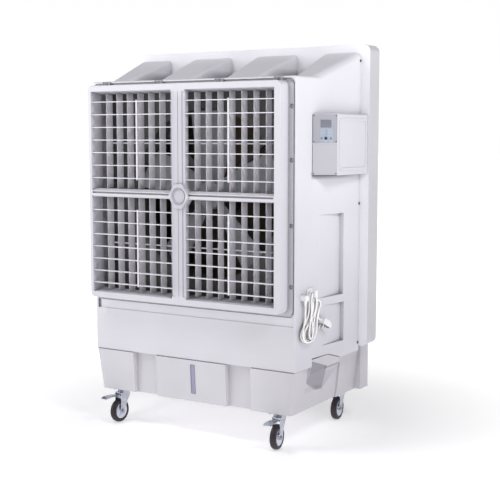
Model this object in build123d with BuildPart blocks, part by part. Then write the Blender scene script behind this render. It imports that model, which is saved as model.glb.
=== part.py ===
from build123d import *
import math
import os

os.makedirs("parts", exist_ok=True)

# ---------------------------------------------------------------- dimensions
# Millimetres. X is the width (right as seen from the front), the front faces
# -Y, Z is up and the wheels stand on Z = 0.
BY = -268.0            # front plane of the cabinet
CY = 160.0             # plane where the rear cover starts
W0 = 491.0             # half width of the cabinet at the front
W1 = 554.7             # half width of the cabinet at the rear
WALL = 4.0             # moulded wall thickness
SEAM_Z = 322.0         # lower edge of the cabinet at the front
SEAM_RISE = 0.0537     # how much that edge rises per mm towards the rear
ROOF_Z = 1459.0        # flat roof and channel floor level
RIDGE_Z = 1568.0       # crest of the four roof ridges
RAMP_Y0 = BY + 118.0   # foot of the ridges' ramp
RAMP_Y1 = BY + 412.0   # crest of the ramp

FR_HW = 461.8          # louver frame half width
FR_ZB, FR_ZT = 556.0, 1440.0
FR_D = 70.0            # how far the louver frame stands in front
FR_Y = BY - FR_D       # front face of the louver frame
WIN_L = (-446.0, -37.5)               # left windows, from side to mullion
WIN_R = (28.5, 436.0)                 # right windows
WIN_UP = (1014.0, 1406.0)             # upper windows, at the back
WIN_LO = (590.0, 981.5)               # lower windows, at the back
SILL_Z, LIP_Z, SOFFIT_Z = 580.0, 1006.0, 1415.0   # sloping edges at the front face
MUL_X, MUL_D = -4.5, 26.0             # middle and depth of the mullion
BOSS_Z = 994.0                        # centre of the middle boss
H_UP = [1059.5 + 52.1 * i for i in range(7)]      # horizontal blade heights
H_LO = [619.0 + 51.2 * i for i in range(7)]
V_X = [58.0 + 54.6 * i for i in range(7)]         # vertical blade positions
H_AX_Y = BY - 56.0     # pivot line of the horizontal blades
V_AX_Y = BY - 24.0     # pivot line of the vertical blades
H_PIN_R = 7.0          # tie-rod pin radius on the horizontal blades
V_PIN_R = 20.0         # tie-rod pin radius on the vertical blades
V_SHAFT = (581.0, 1415.0)             # lower and upper end of the vertical shafts
PIVOT_R = 2.0          # blade pivot radius
PIVOT_CLR = 0.08       # running clearance of the pivots
ROD_X = {-1: -213.5, 1: 228.5}        # tie rods of the horizontal blades
V_ROD_Z = (785.0, 1203.0)

CV_HW = 593.4          # rear cover half width
CV_ZB, CV_ZT = 365.0, 1600.0
CV_D1 = 88.0           # straight rim depth
CV_D2 = 74.0           # tapered rear depth

TK_ZB = 146.5          # underside of the tank
TK_BOT_HW = 470.0
TK_SLOPE = 0.121       # outward lean of the tank's sides
TK_FRONT_B = -262.0    # front wall at the bottom
TK_SLOPE_F = 0.063     # forward lean of the front wall
TK_REAR = 352.0
TK_COL_HW = 509.0      # rear shoulders of the tank
TK_COL_Y = 277.0
TK_WALL = 5.0
GAUGE_X = 13.0         # middle of the level gauge

FAN_Z = 990.0
FAN_Y = BY + 170.0     # mid plane of the rotor
FAN_R = 350.0

CB_Z0, CB_Z1 = 1081.0, 1318.0         # control box
CB_A = (506.6, BY + 100.0)            # its display face runs from A to B
CB_B = (588.0, BY + 155.0)

WHEEL_R = 50.0
WHEEL_W = 27.0
CASTER_X = 392.0
CASTER_YF = BY + 54.0
CASTER_YR = BY + 582.0
TRAIL = 26.0
PLATE_T = 4.0
SWIVEL_REST = {"front_left": -3.0, "front_right": 7.0, "rear_left": 3.0, "rear_right": 4.5}

CORD_D = 7.0
CORD_OFF = 17.0        # how far the cord's centreline stands off the wall
GLAND_T, GLAND_Z = 43.0, 611.0        # cord outlet, along the wall and up
BUTTON_S, BUTTON_Z = 52.5, 1224.0     # power button on the display face
FLANGE_SCREWS = ([(sx * a, 1448.5) for sx in (-1, 1) for a in (147, 415)]
                 + [(sx * 474, zz) for sx in (-1, 1) for zz in (657, 892, 1142, 1345)])

COVER_SCREW_T = 426.0  # row of screws near the rear of each side wall


def side_x(y):
    """Half width of the cabinet wall at depth y."""
    return W0 + (W1 - W0) * (y - BY) / (CY - BY)


def seam_z(y):
    """Height of the cabinet's lower edge at depth y."""
    return SEAM_Z + SEAM_RISE * (y - BY)


def save(builder, name):
    builder.part.label = name
    export_step(builder.part, f"parts/{name}.step")


flare = math.atan2(W1 - W0, CY - BY)
wall_n = Vector(math.cos(flare), -math.sin(flare), 0)     # outward normal, right wall
wall_t = Vector(math.sin(flare), math.cos(flare), 0)      # along the wall to the rear
wall_plane = Plane(origin=(W0, BY, 0), x_dir=wall_t, z_dir=wall_n)   # local x along the wall, local y up


# ---------------------------------------------------------------- cabinet
# Plan outline, widening to the rear.
with BuildPart() as ridge_inner:
    with BuildSketch(Plane.XY.offset(ROOF_Z - 20)):
        with BuildLine():
            Polyline((85, RAMP_Y0), (240, RAMP_Y0), (260, CY), (65.5, CY), close=True)
        make_face()
    extrude(amount=RIDGE_Z - ROOF_Z + 20)
    with BuildSketch(Plane.YZ.offset(-700)):
        with BuildLine():
            Polyline((RAMP_Y0 - 60, ROOF_Z), (RAMP_Y0, ROOF_Z), (RAMP_Y1, RIDGE_Z),
                     (CY + 5, RIDGE_Z), (CY + 5, RIDGE_Z + 90), (RAMP_Y0 - 60, RIDGE_Z + 90), close=True)
        make_face()
    extrude(amount=1400, mode=Mode.SUBTRACT)
    ramp_edges = [e for e in ridge_inner.edges()
                  if e.center().Z > ROOF_Z + 5 and abs(e.tangent_at(0.5).Y) > 0.5
                  and e.center().Z > RIDGE_Z - 75]
    fillet(ramp_edges, 14)

with BuildPart() as ridge_outer:
    with BuildSketch(Plane.XY.offset(ROOF_Z - 20)):
        with BuildLine():
            Polyline((413, RAMP_Y0), (side_x(RAMP_Y0), RAMP_Y0), (side_x(CY), CY), (390, CY), close=True)
        make_face()
    extrude(amount=RIDGE_Z - ROOF_Z + 20)
    with BuildSketch(Plane.YZ.offset(-700)):
        with BuildLine():
            Polyline((RAMP_Y0 - 60, ROOF_Z), (RAMP_Y0, ROOF_Z), (RAMP_Y1, RIDGE_Z),
                     (CY + 5, RIDGE_Z), (CY + 5, RIDGE_Z + 90), (RAMP_Y0 - 60, RIDGE_Z + 90), close=True)
        make_face()
    extrude(amount=1400, mode=Mode.SUBTRACT)
    ramp_edges = [e for e in ridge_outer.edges()
                  if e.center().Z > RIDGE_Z - 75 and abs(e.tangent_at(0.5).Y) > 0.5
                  and e.center().X < 450]
    fillet(ramp_edges, 14)
    ramp_edges = [e for e in ridge_outer.edges()
                  if e.center().Z > RIDGE_Z - 75 and abs(e.tangent_at(0.5).Y) > 0.5
                  and e.center().X > 500]
    fillet(ramp_edges, 26)

# Hollow of one inner and one outer ridge.
with BuildPart() as core_inner:
    with BuildSketch(Plane.XY.offset(ROOF_Z - 30)):
        with BuildLine():
            Polyline((91, RAMP_Y0 + 26), (234, RAMP_Y0 + 26), (254, CY - WALL), (71.5, CY - WALL), close=True)
        make_face()
    extrude(amount=RIDGE_Z - ROOF_Z + 40)
    with BuildSketch(Plane.YZ.offset(-700)):
        with BuildLine():
            Polyline((RAMP_Y0 - 20, ROOF_Z - 6), (RAMP_Y0 + 13, ROOF_Z - 6), (RAMP_Y1 + 2, RIDGE_Z - 9),
                     (CY + 5, RIDGE_Z - 9), (CY + 5, RIDGE_Z + 90), (RAMP_Y0 - 20, RIDGE_Z + 90), close=True)
        make_face()
    extrude(amount=1400, mode=Mode.SUBTRACT)

with BuildPart() as core_outer:
    with BuildSketch(Plane.XY.offset(ROOF_Z - 30)):
        with BuildLine():
            Polyline((419, RAMP_Y0 + 26), (side_x(RAMP_Y0) - 12, RAMP_Y0 + 26),
                     (side_x(CY) - 14, CY - WALL), (396, CY - WALL), close=True)
        make_face()
    extrude(amount=RIDGE_Z - ROOF_Z + 40)
    with BuildSketch(Plane.YZ.offset(-700)):
        with BuildLine():
            Polyline((RAMP_Y0 - 20, ROOF_Z - 6), (RAMP_Y0 + 13, ROOF_Z - 6), (RAMP_Y1 + 2, RIDGE_Z - 12),
                     (CY + 5, RIDGE_Z - 12), (CY + 5, RIDGE_Z + 90), (RAMP_Y0 - 20, RIDGE_Z + 90), close=True)
        make_face()
    extrude(amount=1400, mode=Mode.SUBTRACT)

# Main hollow above the sloping lower edge.
with BuildPart() as cabinet_void:
    with BuildSketch(Plane.XY.offset(250)):
        with BuildLine():
            Polyline((-W0 + 4.2, BY + WALL), (W0 - 4.2, BY + WALL),
                     (W1 - 4.6, CY - WALL), (-W1 + 4.6, CY - WALL), close=True)
        make_face()
    extrude(amount=ROOF_Z - WALL - 250)
    with BuildSketch(Plane.YZ.offset(-700)):
        with BuildLine():
            Polyline((BY - 10, 200), (CY + 10, 200), (CY + 10, seam_z(CY + 10) + WALL),
                     (BY - 10, seam_z(BY - 10) + WALL), close=True)
        make_face()
    extrude(amount=1400, mode=Mode.SUBTRACT)

with BuildPart() as cabinet:
    with BuildSketch(Plane.XY.offset(300)):
        with BuildLine():
            Polyline((-W0, BY), (W0, BY), (W1, CY), (-W1, CY), close=True)
        make_face()
    extrude(amount=ROOF_Z - 300)
    fillet([e for e in cabinet.edges().filter_by(Axis.Z) if e.center().Y < BY + 1], 6)
    fillet([e for e in cabinet.faces().sort_by(Axis.Z)[-1].edges() if e.center().Y < CY - 1], 9)
    # lower edge rises slightly to the rear
    with BuildSketch(Plane.YZ.offset(-700)):
        with BuildLine():
            Polyline((BY - 10, 250), (CY + 10, 250), (CY + 10, seam_z(CY + 10)), (BY - 10, seam_z(BY - 10)), close=True)
        make_face()
    extrude(amount=1400, mode=Mode.SUBTRACT)
    add(ridge_inner.part)
    add(mirror(ridge_inner.part, about=Plane.YZ, mode=Mode.PRIVATE))
    add(ridge_outer.part)
    add(mirror(ridge_outer.part, about=Plane.YZ, mode=Mode.PRIVATE))
    add(cabinet_void.part, mode=Mode.SUBTRACT)
    # backing of the rebate round the louver frame, then the rebate itself
    with BuildSketch(Plane.XZ.offset(-BY - 2)):
        with Locations((0, (531 + 1455.5) / 2)):
            RectangleRounded(2 * 488, 1455.5 - 531, 22)
        with Locations((0, (552 + 1436) / 2)):
            RectangleRounded(2 * 475, 1436 - 552, 16, mode=Mode.SUBTRACT)
    extrude(amount=-13)
    with BuildSketch(Plane.XZ.offset(-BY + 1)):
        with Locations((0, (536.5 + 1451) / 2)):
            RectangleRounded(2 * 485, 1451 - 536.5, 20)
        with Locations((0, (544.5 + 1443) / 2)):
            RectangleRounded(2 * 481, 1443 - 544.5, 18, mode=Mode.SUBTRACT)
    extrude(amount=-6.5, mode=Mode.SUBTRACT)
    # shallow band below the louver frame
    with Locations((9, BY + 3, 518.5)):
        Box(946, 9, 37, mode=Mode.SUBTRACT)
    with Locations((9, BY + 6, 516.2)):
        Box(954, 8, 40.4)
    # relief slot below the left corner of the louver frame
    with Locations((-472, BY + 10, 518)):
        Box(24, 14, 46)
    with Locations((-472.2, BY + 5, 518.5)):
        Box(14, 13, 37, mode=Mode.SUBTRACT)
    add(core_inner.part, mode=Mode.SUBTRACT)
    add(mirror(core_inner.part, about=Plane.YZ, mode=Mode.PRIVATE), mode=Mode.SUBTRACT)
    add(core_outer.part, mode=Mode.SUBTRACT)
    add(mirror(core_outer.part, about=Plane.YZ, mode=Mode.PRIVATE), mode=Mode.SUBTRACT)
    # air outlet behind the louver frame and air inlet at the rear
    with BuildSketch(Plane.XZ.offset(-BY + 5)):
        with Locations((0, (575 + 1425) / 2)):
            RectangleRounded(900, 850, 20)
    extrude(amount=-14, mode=Mode.SUBTRACT)
    with BuildSketch(Plane.XZ.offset(-CY + 12)):
        with Locations((0, (390 + 1440) / 2)):
            RectangleRounded(1030, 1050, 25)
    extrude(amount=-20, mode=Mode.SUBTRACT)
    # open bottom above the tank
    with Locations((0, (BY + 20 + CY - 16) / 2, 330)):
        Box(930, CY - 16 - BY - 20, 120, mode=Mode.SUBTRACT)
    # arch in the right lower edge over the filling scoop
    with BuildSketch(Plane.YZ.offset(468)):
        with BuildLine():
            Polyline((BY + 108, 250), (BY + 108, 358), (BY + 112, 362), (BY + 215, 364),
                     (BY + 298, seam_z(BY + 298) + 2), (BY + 304, seam_z(BY + 304) - 2), (BY + 304, 250), close=True)
        make_face()
    extrude(amount=120, mode=Mode.SUBTRACT)

# Backing of the two recessed grip panels in the right wall, then the recesses.
with BuildPart() as grip_back:
    with BuildSketch(Plane.XY.offset(386)):
        with BuildLine():
            Polyline((side_x(BY + 115) - 4, BY + 115), (side_x(BY + 115) - 1.0, BY + 115),
                     (side_x(BY + 330) - 1.0, BY + 330), (505.5, BY + 330), close=True)
        make_face()
    extrude(amount=560)

with BuildPart() as grip_cut:
    with BuildSketch(Plane.XY.offset(596)):
        with BuildLine():
            Polyline((512.0, BY + 134), (640, BY + 134), (640, BY + 314), (519.5, BY + 314), close=True)
        make_face()
    extrude(amount=925 - 596)
    with BuildSketch(Plane.XY.offset(404)):
        with BuildLine():
            Polyline((516.0, BY + 163), (640, BY + 163), (640, BY + 320), (522.5, BY + 320), close=True)
        make_face()
    extrude(amount=564 - 404)

with BuildPart() as cabinet_done:
    add(cabinet.part)
    add(grip_back.part)
    add(grip_cut.part, mode=Mode.SUBTRACT)
    # bore for the cord gland
    with BuildSketch(wall_plane.offset(-12)):
        with Locations((GLAND_T, GLAND_Z)):
            Circle(8.1)
    extrude(amount=24, mode=Mode.SUBTRACT)
save(cabinet_done, "cabinet")

# ---------------------------------------------------------------- louver frame
# Y-Z outlines cut from each window: sill, soffit, lip and lower edge of the middle rail
WINDOW_SLOPES = [
    [(FR_Y - 1, SILL_Z - 0.15), (FR_Y - 1, WIN_LO[0] + 6), (BY + 1, WIN_LO[0] + 6), (BY + 1, WIN_LO[0] + 0.15)],
    [(FR_Y - 1, SOFFIT_Z + 0.13), (FR_Y - 1, WIN_UP[1] - 6), (BY + 1, WIN_UP[1] - 6), (BY + 1, WIN_UP[1] - 0.13)],
    [(FR_Y - 1, LIP_Z - 0.3), (FR_Y - 1, WIN_UP[0] + 6), (FR_Y + 30, WIN_UP[0] + 6), (FR_Y + 24, WIN_UP[0])],
    [(FR_Y - 1, WIN_LO[1] - 6), (FR_Y - 1, WIN_LO[1] + 5.7), (FR_Y + 6, WIN_LO[1]), (FR_Y + 6, WIN_LO[1] - 6)],
]
with BuildPart() as louver_frame:
    # flange plate on the cabinet front, with a tab at each upper screw
    with BuildSketch(Plane.XZ.offset(-BY)):
        with Locations((0, (545 + 1442.6) / 2)):
            RectangleRounded(2 * 480.6, 1442.6 - 545, 18)
        with Locations(*[(x, 1446) for (x, z) in FLANGE_SCREWS if z > 1400]):
            RectangleRounded(40, 22, 5)
    extrude(amount=6)
    # box
    with BuildSketch(Plane.XZ.offset(-BY)):
        with Locations((0, (FR_ZB + FR_ZT) / 2)):
            RectangleRounded(2 * FR_HW, FR_ZT - FR_ZB, 20)
    extrude(amount=FR_D)
    fillet(louver_frame.faces().sort_by(Axis.Y)[0].edges(), 4)
    # four windows with sloping sills and soffits
    for (x0, x1) in (WIN_L, WIN_R):
        for (z0, z1) in (WIN_UP, WIN_LO):
            with BuildSketch(Plane.XZ.offset(-BY - 5)):
                with Locations(((x0 + x1) / 2, (z0 + z1) / 2)):
                    RectangleRounded(x1 - x0, z1 - z0, 4)
            extrude(amount=FR_D + 20, mode=Mode.SUBTRACT)
        for outline in WINDOW_SLOPES:
            with BuildSketch(Plane.YZ.offset(x0)):
                with BuildLine():
                    Polyline(*outline, close=True)
                make_face()
            extrude(amount=x1 - x0, mode=Mode.SUBTRACT)
    # open channel behind the outer bars
    with BuildSketch(Plane.XZ.offset(-BY)):
        with Locations((0, (FR_ZB + FR_ZT) / 2)):
            RectangleRounded(2 * FR_HW - 10, FR_ZT - FR_ZB - 10, 16)
        with Locations(((WIN_L[0] + WIN_R[1]) / 2, (576 + 1419) / 2)):
            Rectangle(WIN_R[1] - WIN_L[0] + 8, 1419 - 576, mode=Mode.SUBTRACT)
    extrude(amount=FR_D - 5, mode=Mode.SUBTRACT)
    # groove along the middle rail
    with Locations(((WIN_L[0] + WIN_R[1]) / 2, FR_Y + 3, 999)):
        Box(WIN_R[1] - WIN_L[0] - 6, 12, 7, mode=Mode.SUBTRACT)
    # shallow mullion, open behind, with a raised middle strip and a centre line
    for (z0, z1) in (WIN_UP, WIN_LO):
        with Locations((MUL_X, (FR_Y + MUL_D + BY + 5) / 2, (z0 + z1) / 2)):
            Box(WIN_R[0] - WIN_L[1] + 2, BY + 5 - FR_Y - MUL_D, z1 - z0, mode=Mode.SUBTRACT)
        for sx in (-1, 1):
            with Locations((MUL_X + sx * 28, FR_Y, (z0 + z1) / 2)):
                Box(18, 6, z1 - z0, mode=Mode.SUBTRACT)
        with Locations((MUL_X, FR_Y, (z0 + z1) / 2)):
            Box(1.8, 4, z1 - z0, mode=Mode.SUBTRACT)
    # six-sided boss at the crossing with a dished round seat
    with BuildSketch(Plane.XZ.offset(-FR_Y - 34)):
        with BuildLine():
            Polyline((-48, BOSS_Z), (-19, BOSS_Z + 49), (19, BOSS_Z + 49), (48, BOSS_Z),
                     (19, BOSS_Z - 49), (-19, BOSS_Z - 49), close=True)
        boss = make_face()
        fillet(boss.vertices(), 9)
    extrude(amount=44)
    boss_rim = [e for e in louver_frame.edges() if abs(e.center().Y - (FR_Y - 10)) < 0.2]
    fillet(boss_rim, 3)
    with BuildSketch(Plane.XZ.offset(-FR_Y + 11)):
        with Locations((0, BOSS_Z)):
            Circle(38)
    with BuildSketch(Plane.XZ.offset(-FR_Y + 1)):
        with Locations((0, BOSS_Z)):
            Circle(31)
    loft(mode=Mode.SUBTRACT)
    with BuildSketch(Plane.XZ.offset(-FR_Y + 1)):
        with Locations((0, BOSS_Z)):
            Circle(28.5)
            Circle(25.5, mode=Mode.SUBTRACT)
    extrude(amount=2)
    # pivot bores
    for z in H_UP + H_LO:
        with BuildSketch(Plane.YZ.offset(WIN_L[0] - 6)):
            with Locations((H_AX_Y, z)):
                Circle(PIVOT_R + PIVOT_CLR)
        extrude(amount=WIN_R[1] - WIN_L[0] + 12, mode=Mode.SUBTRACT)
    for sx in (-1, 1):
        for x in V_X:
            with BuildSketch(Plane.XY.offset(V_SHAFT[0] - 1)):
                with Locations((sx * x, V_AX_Y)):
                    Circle(PIVOT_R + PIVOT_CLR)
            extrude(amount=V_SHAFT[1] - V_SHAFT[0] + 2, mode=Mode.SUBTRACT)
    # screw recesses in the flange, open to its edge
    for (x, z) in FLANGE_SCREWS:
        out = (0, 1 if z > 1400 else -1) if abs(x) < 450 else (math.copysign(1, x), 0)
        with BuildSketch(Plane.XZ.offset(-BY + 6.0)):
            with Locations((x, z)):
                RectangleRounded(14 if out[0] else 30, 14 if out[1] else 18, 6.5)
            with Locations((x + 8 * out[0], z + 8 * out[1])):
                Rectangle(16 if out[0] else 30, 16 if out[1] else 18)
        extrude(amount=-3.5, mode=Mode.SUBTRACT)
save(louver_frame, "louver_frame")

# ---------------------------------------------------------------- horizontal blades
# A left and a right blade on one shaft that passes through the mullion.
def blade_row(name, z):
    with BuildPart() as row:
        for sx, (x0, x1) in ((-1, WIN_L), (1, WIN_R)):
            with BuildSketch(Plane.YZ.offset(x0 + 1.2)):
                with Locations((H_AX_Y, z)):
                    SlotOverall(20, 3.2)
            extrude(amount=x1 - x0 - 2.4)
            with Locations((ROD_X[sx], H_AX_Y - 6.0, z)):
                Box(8, 10, 6, mode=Mode.SUBTRACT)
            with BuildSketch(Plane.YZ.offset(ROD_X[sx] - 5)):
                with Locations((H_AX_Y - H_PIN_R, z)):
                    Circle(1.0)
            extrude(amount=10)
        with BuildSketch(Plane.YZ.offset(WIN_L[0] - 5)):
            with Locations((H_AX_Y, z)):
                Circle(PIVOT_R)
        extrude(amount=WIN_R[1] - WIN_L[0] + 10)
    save(row, name)


for i, z in enumerate(H_UP):
    blade_row(f"blade_row_upper_{i + 1}", z)
for i, z in enumerate(H_LO):
    blade_row(f"blade_row_lower_{i + 1}", z)


# Two tie rods per group, one in each window.
def row_rods(name, heights):
    with BuildPart() as rods:
        for sx in (-1, 1):
            with Locations((ROD_X[sx], H_AX_Y - H_PIN_R, (heights[0] + heights[-1]) / 2)):
                Box(5, 5, heights[-1] - heights[0] + 12)
            for z in heights:
                with BuildSketch(Plane.YZ.offset(ROD_X[sx] - 4)):
                    with Locations((H_AX_Y - H_PIN_R, z)):
                        Circle(1.06)
                extrude(amount=8, mode=Mode.SUBTRACT)
    save(rods, name)


row_rods("tie_rods_upper", H_UP)
row_rods("tie_rods_lower", H_LO)


# ---------------------------------------------------------------- vertical blades
# An upper and a lower blade on one shaft that passes through the middle rail.
def blade_column(name, x):
    with BuildPart() as col:
        for (z0, z1) in (WIN_LO, WIN_UP):
            with BuildSketch(Plane.XY.offset(z0 + 1.2)):
                with Locations((x, V_AX_Y + 1.5)):
                    SlotOverall(41, 3.2, rotation=90)
            extrude(amount=z1 - z0 - 2.4)
        for zr in V_ROD_Z:
            with Locations((x, V_AX_Y + V_PIN_R + 2.35, zr)):
                Box(6, 14.3, 8, mode=Mode.SUBTRACT)
            with BuildSketch(Plane.XY.offset(zr - 5)):
                with Locations((x, V_AX_Y + V_PIN_R)):
                    Circle(1.0)
            extrude(amount=10)
        with BuildSketch(Plane.XY.offset(V_SHAFT[0])):
            with Locations((x, V_AX_Y)):
                Circle(PIVOT_R)
        extrude(amount=V_SHAFT[1] - V_SHAFT[0])
    save(col, name)


for i, x in enumerate(V_X):
    blade_column(f"blade_col_right_{i + 1}", x)
    blade_column(f"blade_col_left_{i + 1}", -x)

# One cross rod for the lower and one for the upper blades.
with BuildPart() as tie_rods_columns:
    for zr in V_ROD_Z:
        with Locations((0, V_AX_Y + V_PIN_R, zr)):
            Box(2 * V_X[-1] + 12, 4.6, 5)
        for sx in (-1, 1):
            for x in V_X:
                with BuildSketch(Plane.XY.offset(zr - 4)):
                    with Locations((sx * x, V_AX_Y + V_PIN_R)):
                        Circle(1.06)
                extrude(amount=8, mode=Mode.SUBTRACT)
save(tie_rods_columns, "tie_rods_columns")

# ---------------------------------------------------------------- flange and cover screws
with BuildPart() as frame_screws:
    with BuildSketch(Plane.XZ.offset(-BY + 2.5)):
        with Locations(*FLANGE_SCREWS):
            Circle(4.6)
    extrude(amount=3.2)
    # the same screws through the side walls into the rear cover
    for z in (380, 958, 1535):
        with BuildSketch(wall_plane):
            with Locations((COVER_SCREW_T, z)):
                Circle(4.5)
        extrude(amount=2.4)
        with BuildSketch(Plane(origin=(-W0, BY, 0), x_dir=(math.sin(flare), -math.cos(flare), 0),
                               z_dir=(-math.cos(flare), -math.sin(flare), 0))):
            with Locations((-COVER_SCREW_T, z)):
                Circle(4.5)
        extrude(amount=2.4)
save(frame_screws, "frame_screws")

# ---------------------------------------------------------------- rear cover
Y_RIM = CY + CV_D1
Y_BACK = CY + CV_D1 + CV_D2
with BuildPart() as cover_outer:
    with BuildSketch(Plane.XZ.offset(-Y_RIM)):
        with Locations((0, (CV_ZB + CV_ZT) / 2)):
            RectangleRounded(2 * CV_HW, CV_ZT - CV_ZB, 28)
    extrude(amount=CV_D1)
    with BuildSketch(Plane.XZ.offset(-Y_RIM)):
        with Locations((0, (CV_ZB + CV_ZT) / 2)):
            RectangleRounded(2 * CV_HW, CV_ZT - CV_ZB, 28)
    with BuildSketch(Plane.XZ.offset(-Y_BACK)):
        with Locations((0, (CV_ZB + 20 + CV_ZT - 34) / 2)):
            RectangleRounded(2 * (CV_HW - 36), CV_ZT - CV_ZB - 54, 28)
    loft()

with BuildPart() as cover_inner:
    with BuildSketch(Plane.XZ.offset(-Y_RIM)):
        with Locations((0, (CV_ZB + CV_ZT) / 2)):
            RectangleRounded(2 * CV_HW - 8, CV_ZT - CV_ZB - 8, 24)
    extrude(amount=CV_D1 - 4)
    with BuildSketch(Plane.XZ.offset(-Y_RIM)):
        with Locations((0, (CV_ZB + CV_ZT) / 2)):
            RectangleRounded(2 * CV_HW - 8, CV_ZT - CV_ZB - 8, 24)
    with BuildSketch(Plane.XZ.offset(-Y_BACK + 4)):
        with Locations((0, (CV_ZB + 20 + CV_ZT - 34) / 2)):
            RectangleRounded(2 * (CV_HW - 36) - 6, CV_ZT - CV_ZB - 60, 24)
    loft()

with BuildPart() as rear_cover:
    add(cover_outer.part)
    add(cover_inner.part, mode=Mode.SUBTRACT)
    # front opening towards the cabinet
    with BuildSketch(Plane.XZ.offset(-CY + 5)):
        with Locations((0, (385 + 1445) / 2)):
            RectangleRounded(1060, 1060, 20)
    extrude(amount=-12, mode=Mode.SUBTRACT)
    # air inlet grille
    with BuildSketch(Plane.XZ.offset(-Y_BACK - 5)):
        with Locations((0, 962)):
            with GridLocations(252, 43, 4, 24):
                Rectangle(232, 31)
    extrude(amount=12, mode=Mode.SUBTRACT)
    # drain slots under the pad
    with Locations((0, 262, CV_ZB + 8)):
        with GridLocations(240, 1, 4, 1):
            Box(180, 20, 30, mode=Mode.SUBTRACT)
    # bearers that carry the pad
    with Locations((0, 262, 380)):
        with GridLocations(240, 1, 5, 1):
            Box(20, 80, 24)
save(rear_cover, "rear_cover")

with BuildPart() as cooling_pad:
    with Locations((0, 264, (392 + 1540) / 2)):
        Box(1070, 92, 1540 - 392)
save(cooling_pad, "cooling_pad")


# ---------------------------------------------------------------- water tank
def tank_hw(z):
    return TK_BOT_HW + TK_SLOPE * (z - TK_ZB)


def tank_front(z):
    return TK_FRONT_B - TK_SLOPE_F * (z - TK_ZB)


def tank_top(y):
    return seam_z(y) - 2.0


Z_HI = 362.0
# Spout of the filling chute under the arch: lip corners L, N, R and its foot B, C on the side wall.
SP_L, SP_N, SP_R = Vector(505, BY + 112, 345), Vector(519, BY + 208, 311), Vector(536, BY + 327, 308.5)
SP_B, SP_C = Vector(487, BY + 105, 221), Vector(487, BY + 232, 218)


def through(p, q, r):
    """Plane through three points whose normal points away from the tank."""
    n = (q - p).cross(r - p).normalized()
    if n.X < 0:
        n = n * -1
    return Plane(origin=p, x_dir=(q - p).normalized(), z_dir=n)


def spout(d, top):
    """Body of the spout, d inside its outer faces."""
    with BuildPart() as body:
        with BuildSketch(Plane.YZ.offset(462)):
            with BuildLine():
                Polyline((BY + 111 + d, top), (BY + 111 + d, 340), (BY + 104 + d, 220 + d), (BY + 232 - d / 2, 216 + d),
                         (BY + 327 - d, 307 + d), (BY + 327 - d, tank_top(BY + 327)), (BY + 306, tank_top(BY + 306)),
                         (BY + 295, seam_z(BY + 298)), (BY + 215, 361.5) if top < 365 else (BY + 215, top), close=True)
            make_face()
        extrude(amount=90)
        split(bisect_by=wall_plane.offset(-2 - d), keep=Keep.BOTTOM)
        split(bisect_by=through(SP_N, SP_B, SP_C).offset(-d), keep=Keep.BOTTOM)
        split(bisect_by=through(SP_N, SP_R, SP_C).offset(-d), keep=Keep.BOTTOM)
        split(bisect_by=through(SP_L, SP_N, SP_B).offset(-d), keep=Keep.BOTTOM)
    return body.part


with BuildPart() as tank_void:
    with BuildSketch(Plane.XY.offset(TK_ZB + TK_WALL)):
        with Locations((0, (TK_FRONT_B + TK_WALL + TK_REAR - TK_WALL) / 2)):
            RectangleRounded(2 * (TK_BOT_HW - TK_WALL), TK_REAR - TK_FRONT_B - 2 * TK_WALL, 16)
    with BuildSketch(Plane.XY.offset(Z_HI + 10)):
        with Locations((0, (tank_front(Z_HI + 10) + TK_WALL + TK_REAR - TK_WALL) / 2)):
            RectangleRounded(2 * (tank_hw(Z_HI + 10) - TK_WALL), TK_REAR - tank_front(Z_HI + 10) - 2 * TK_WALL, 16)
    loft()
    # deck over the rear part
    with BuildSketch(Plane.YZ.offset(-700)):
        with BuildLine():
            Polyline((246, tank_top(246) - 5), (400, tank_top(400) - 5), (400, 420), (246, 420), close=True)
        make_face()
    extrude(amount=1400, mode=Mode.SUBTRACT)
    # keep the walls of the two front pockets
    for sx in (-1, 1):
        with Locations((sx * 231, -262, 250)):
            Box(128, 44, 260, mode=Mode.SUBTRACT)

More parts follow.
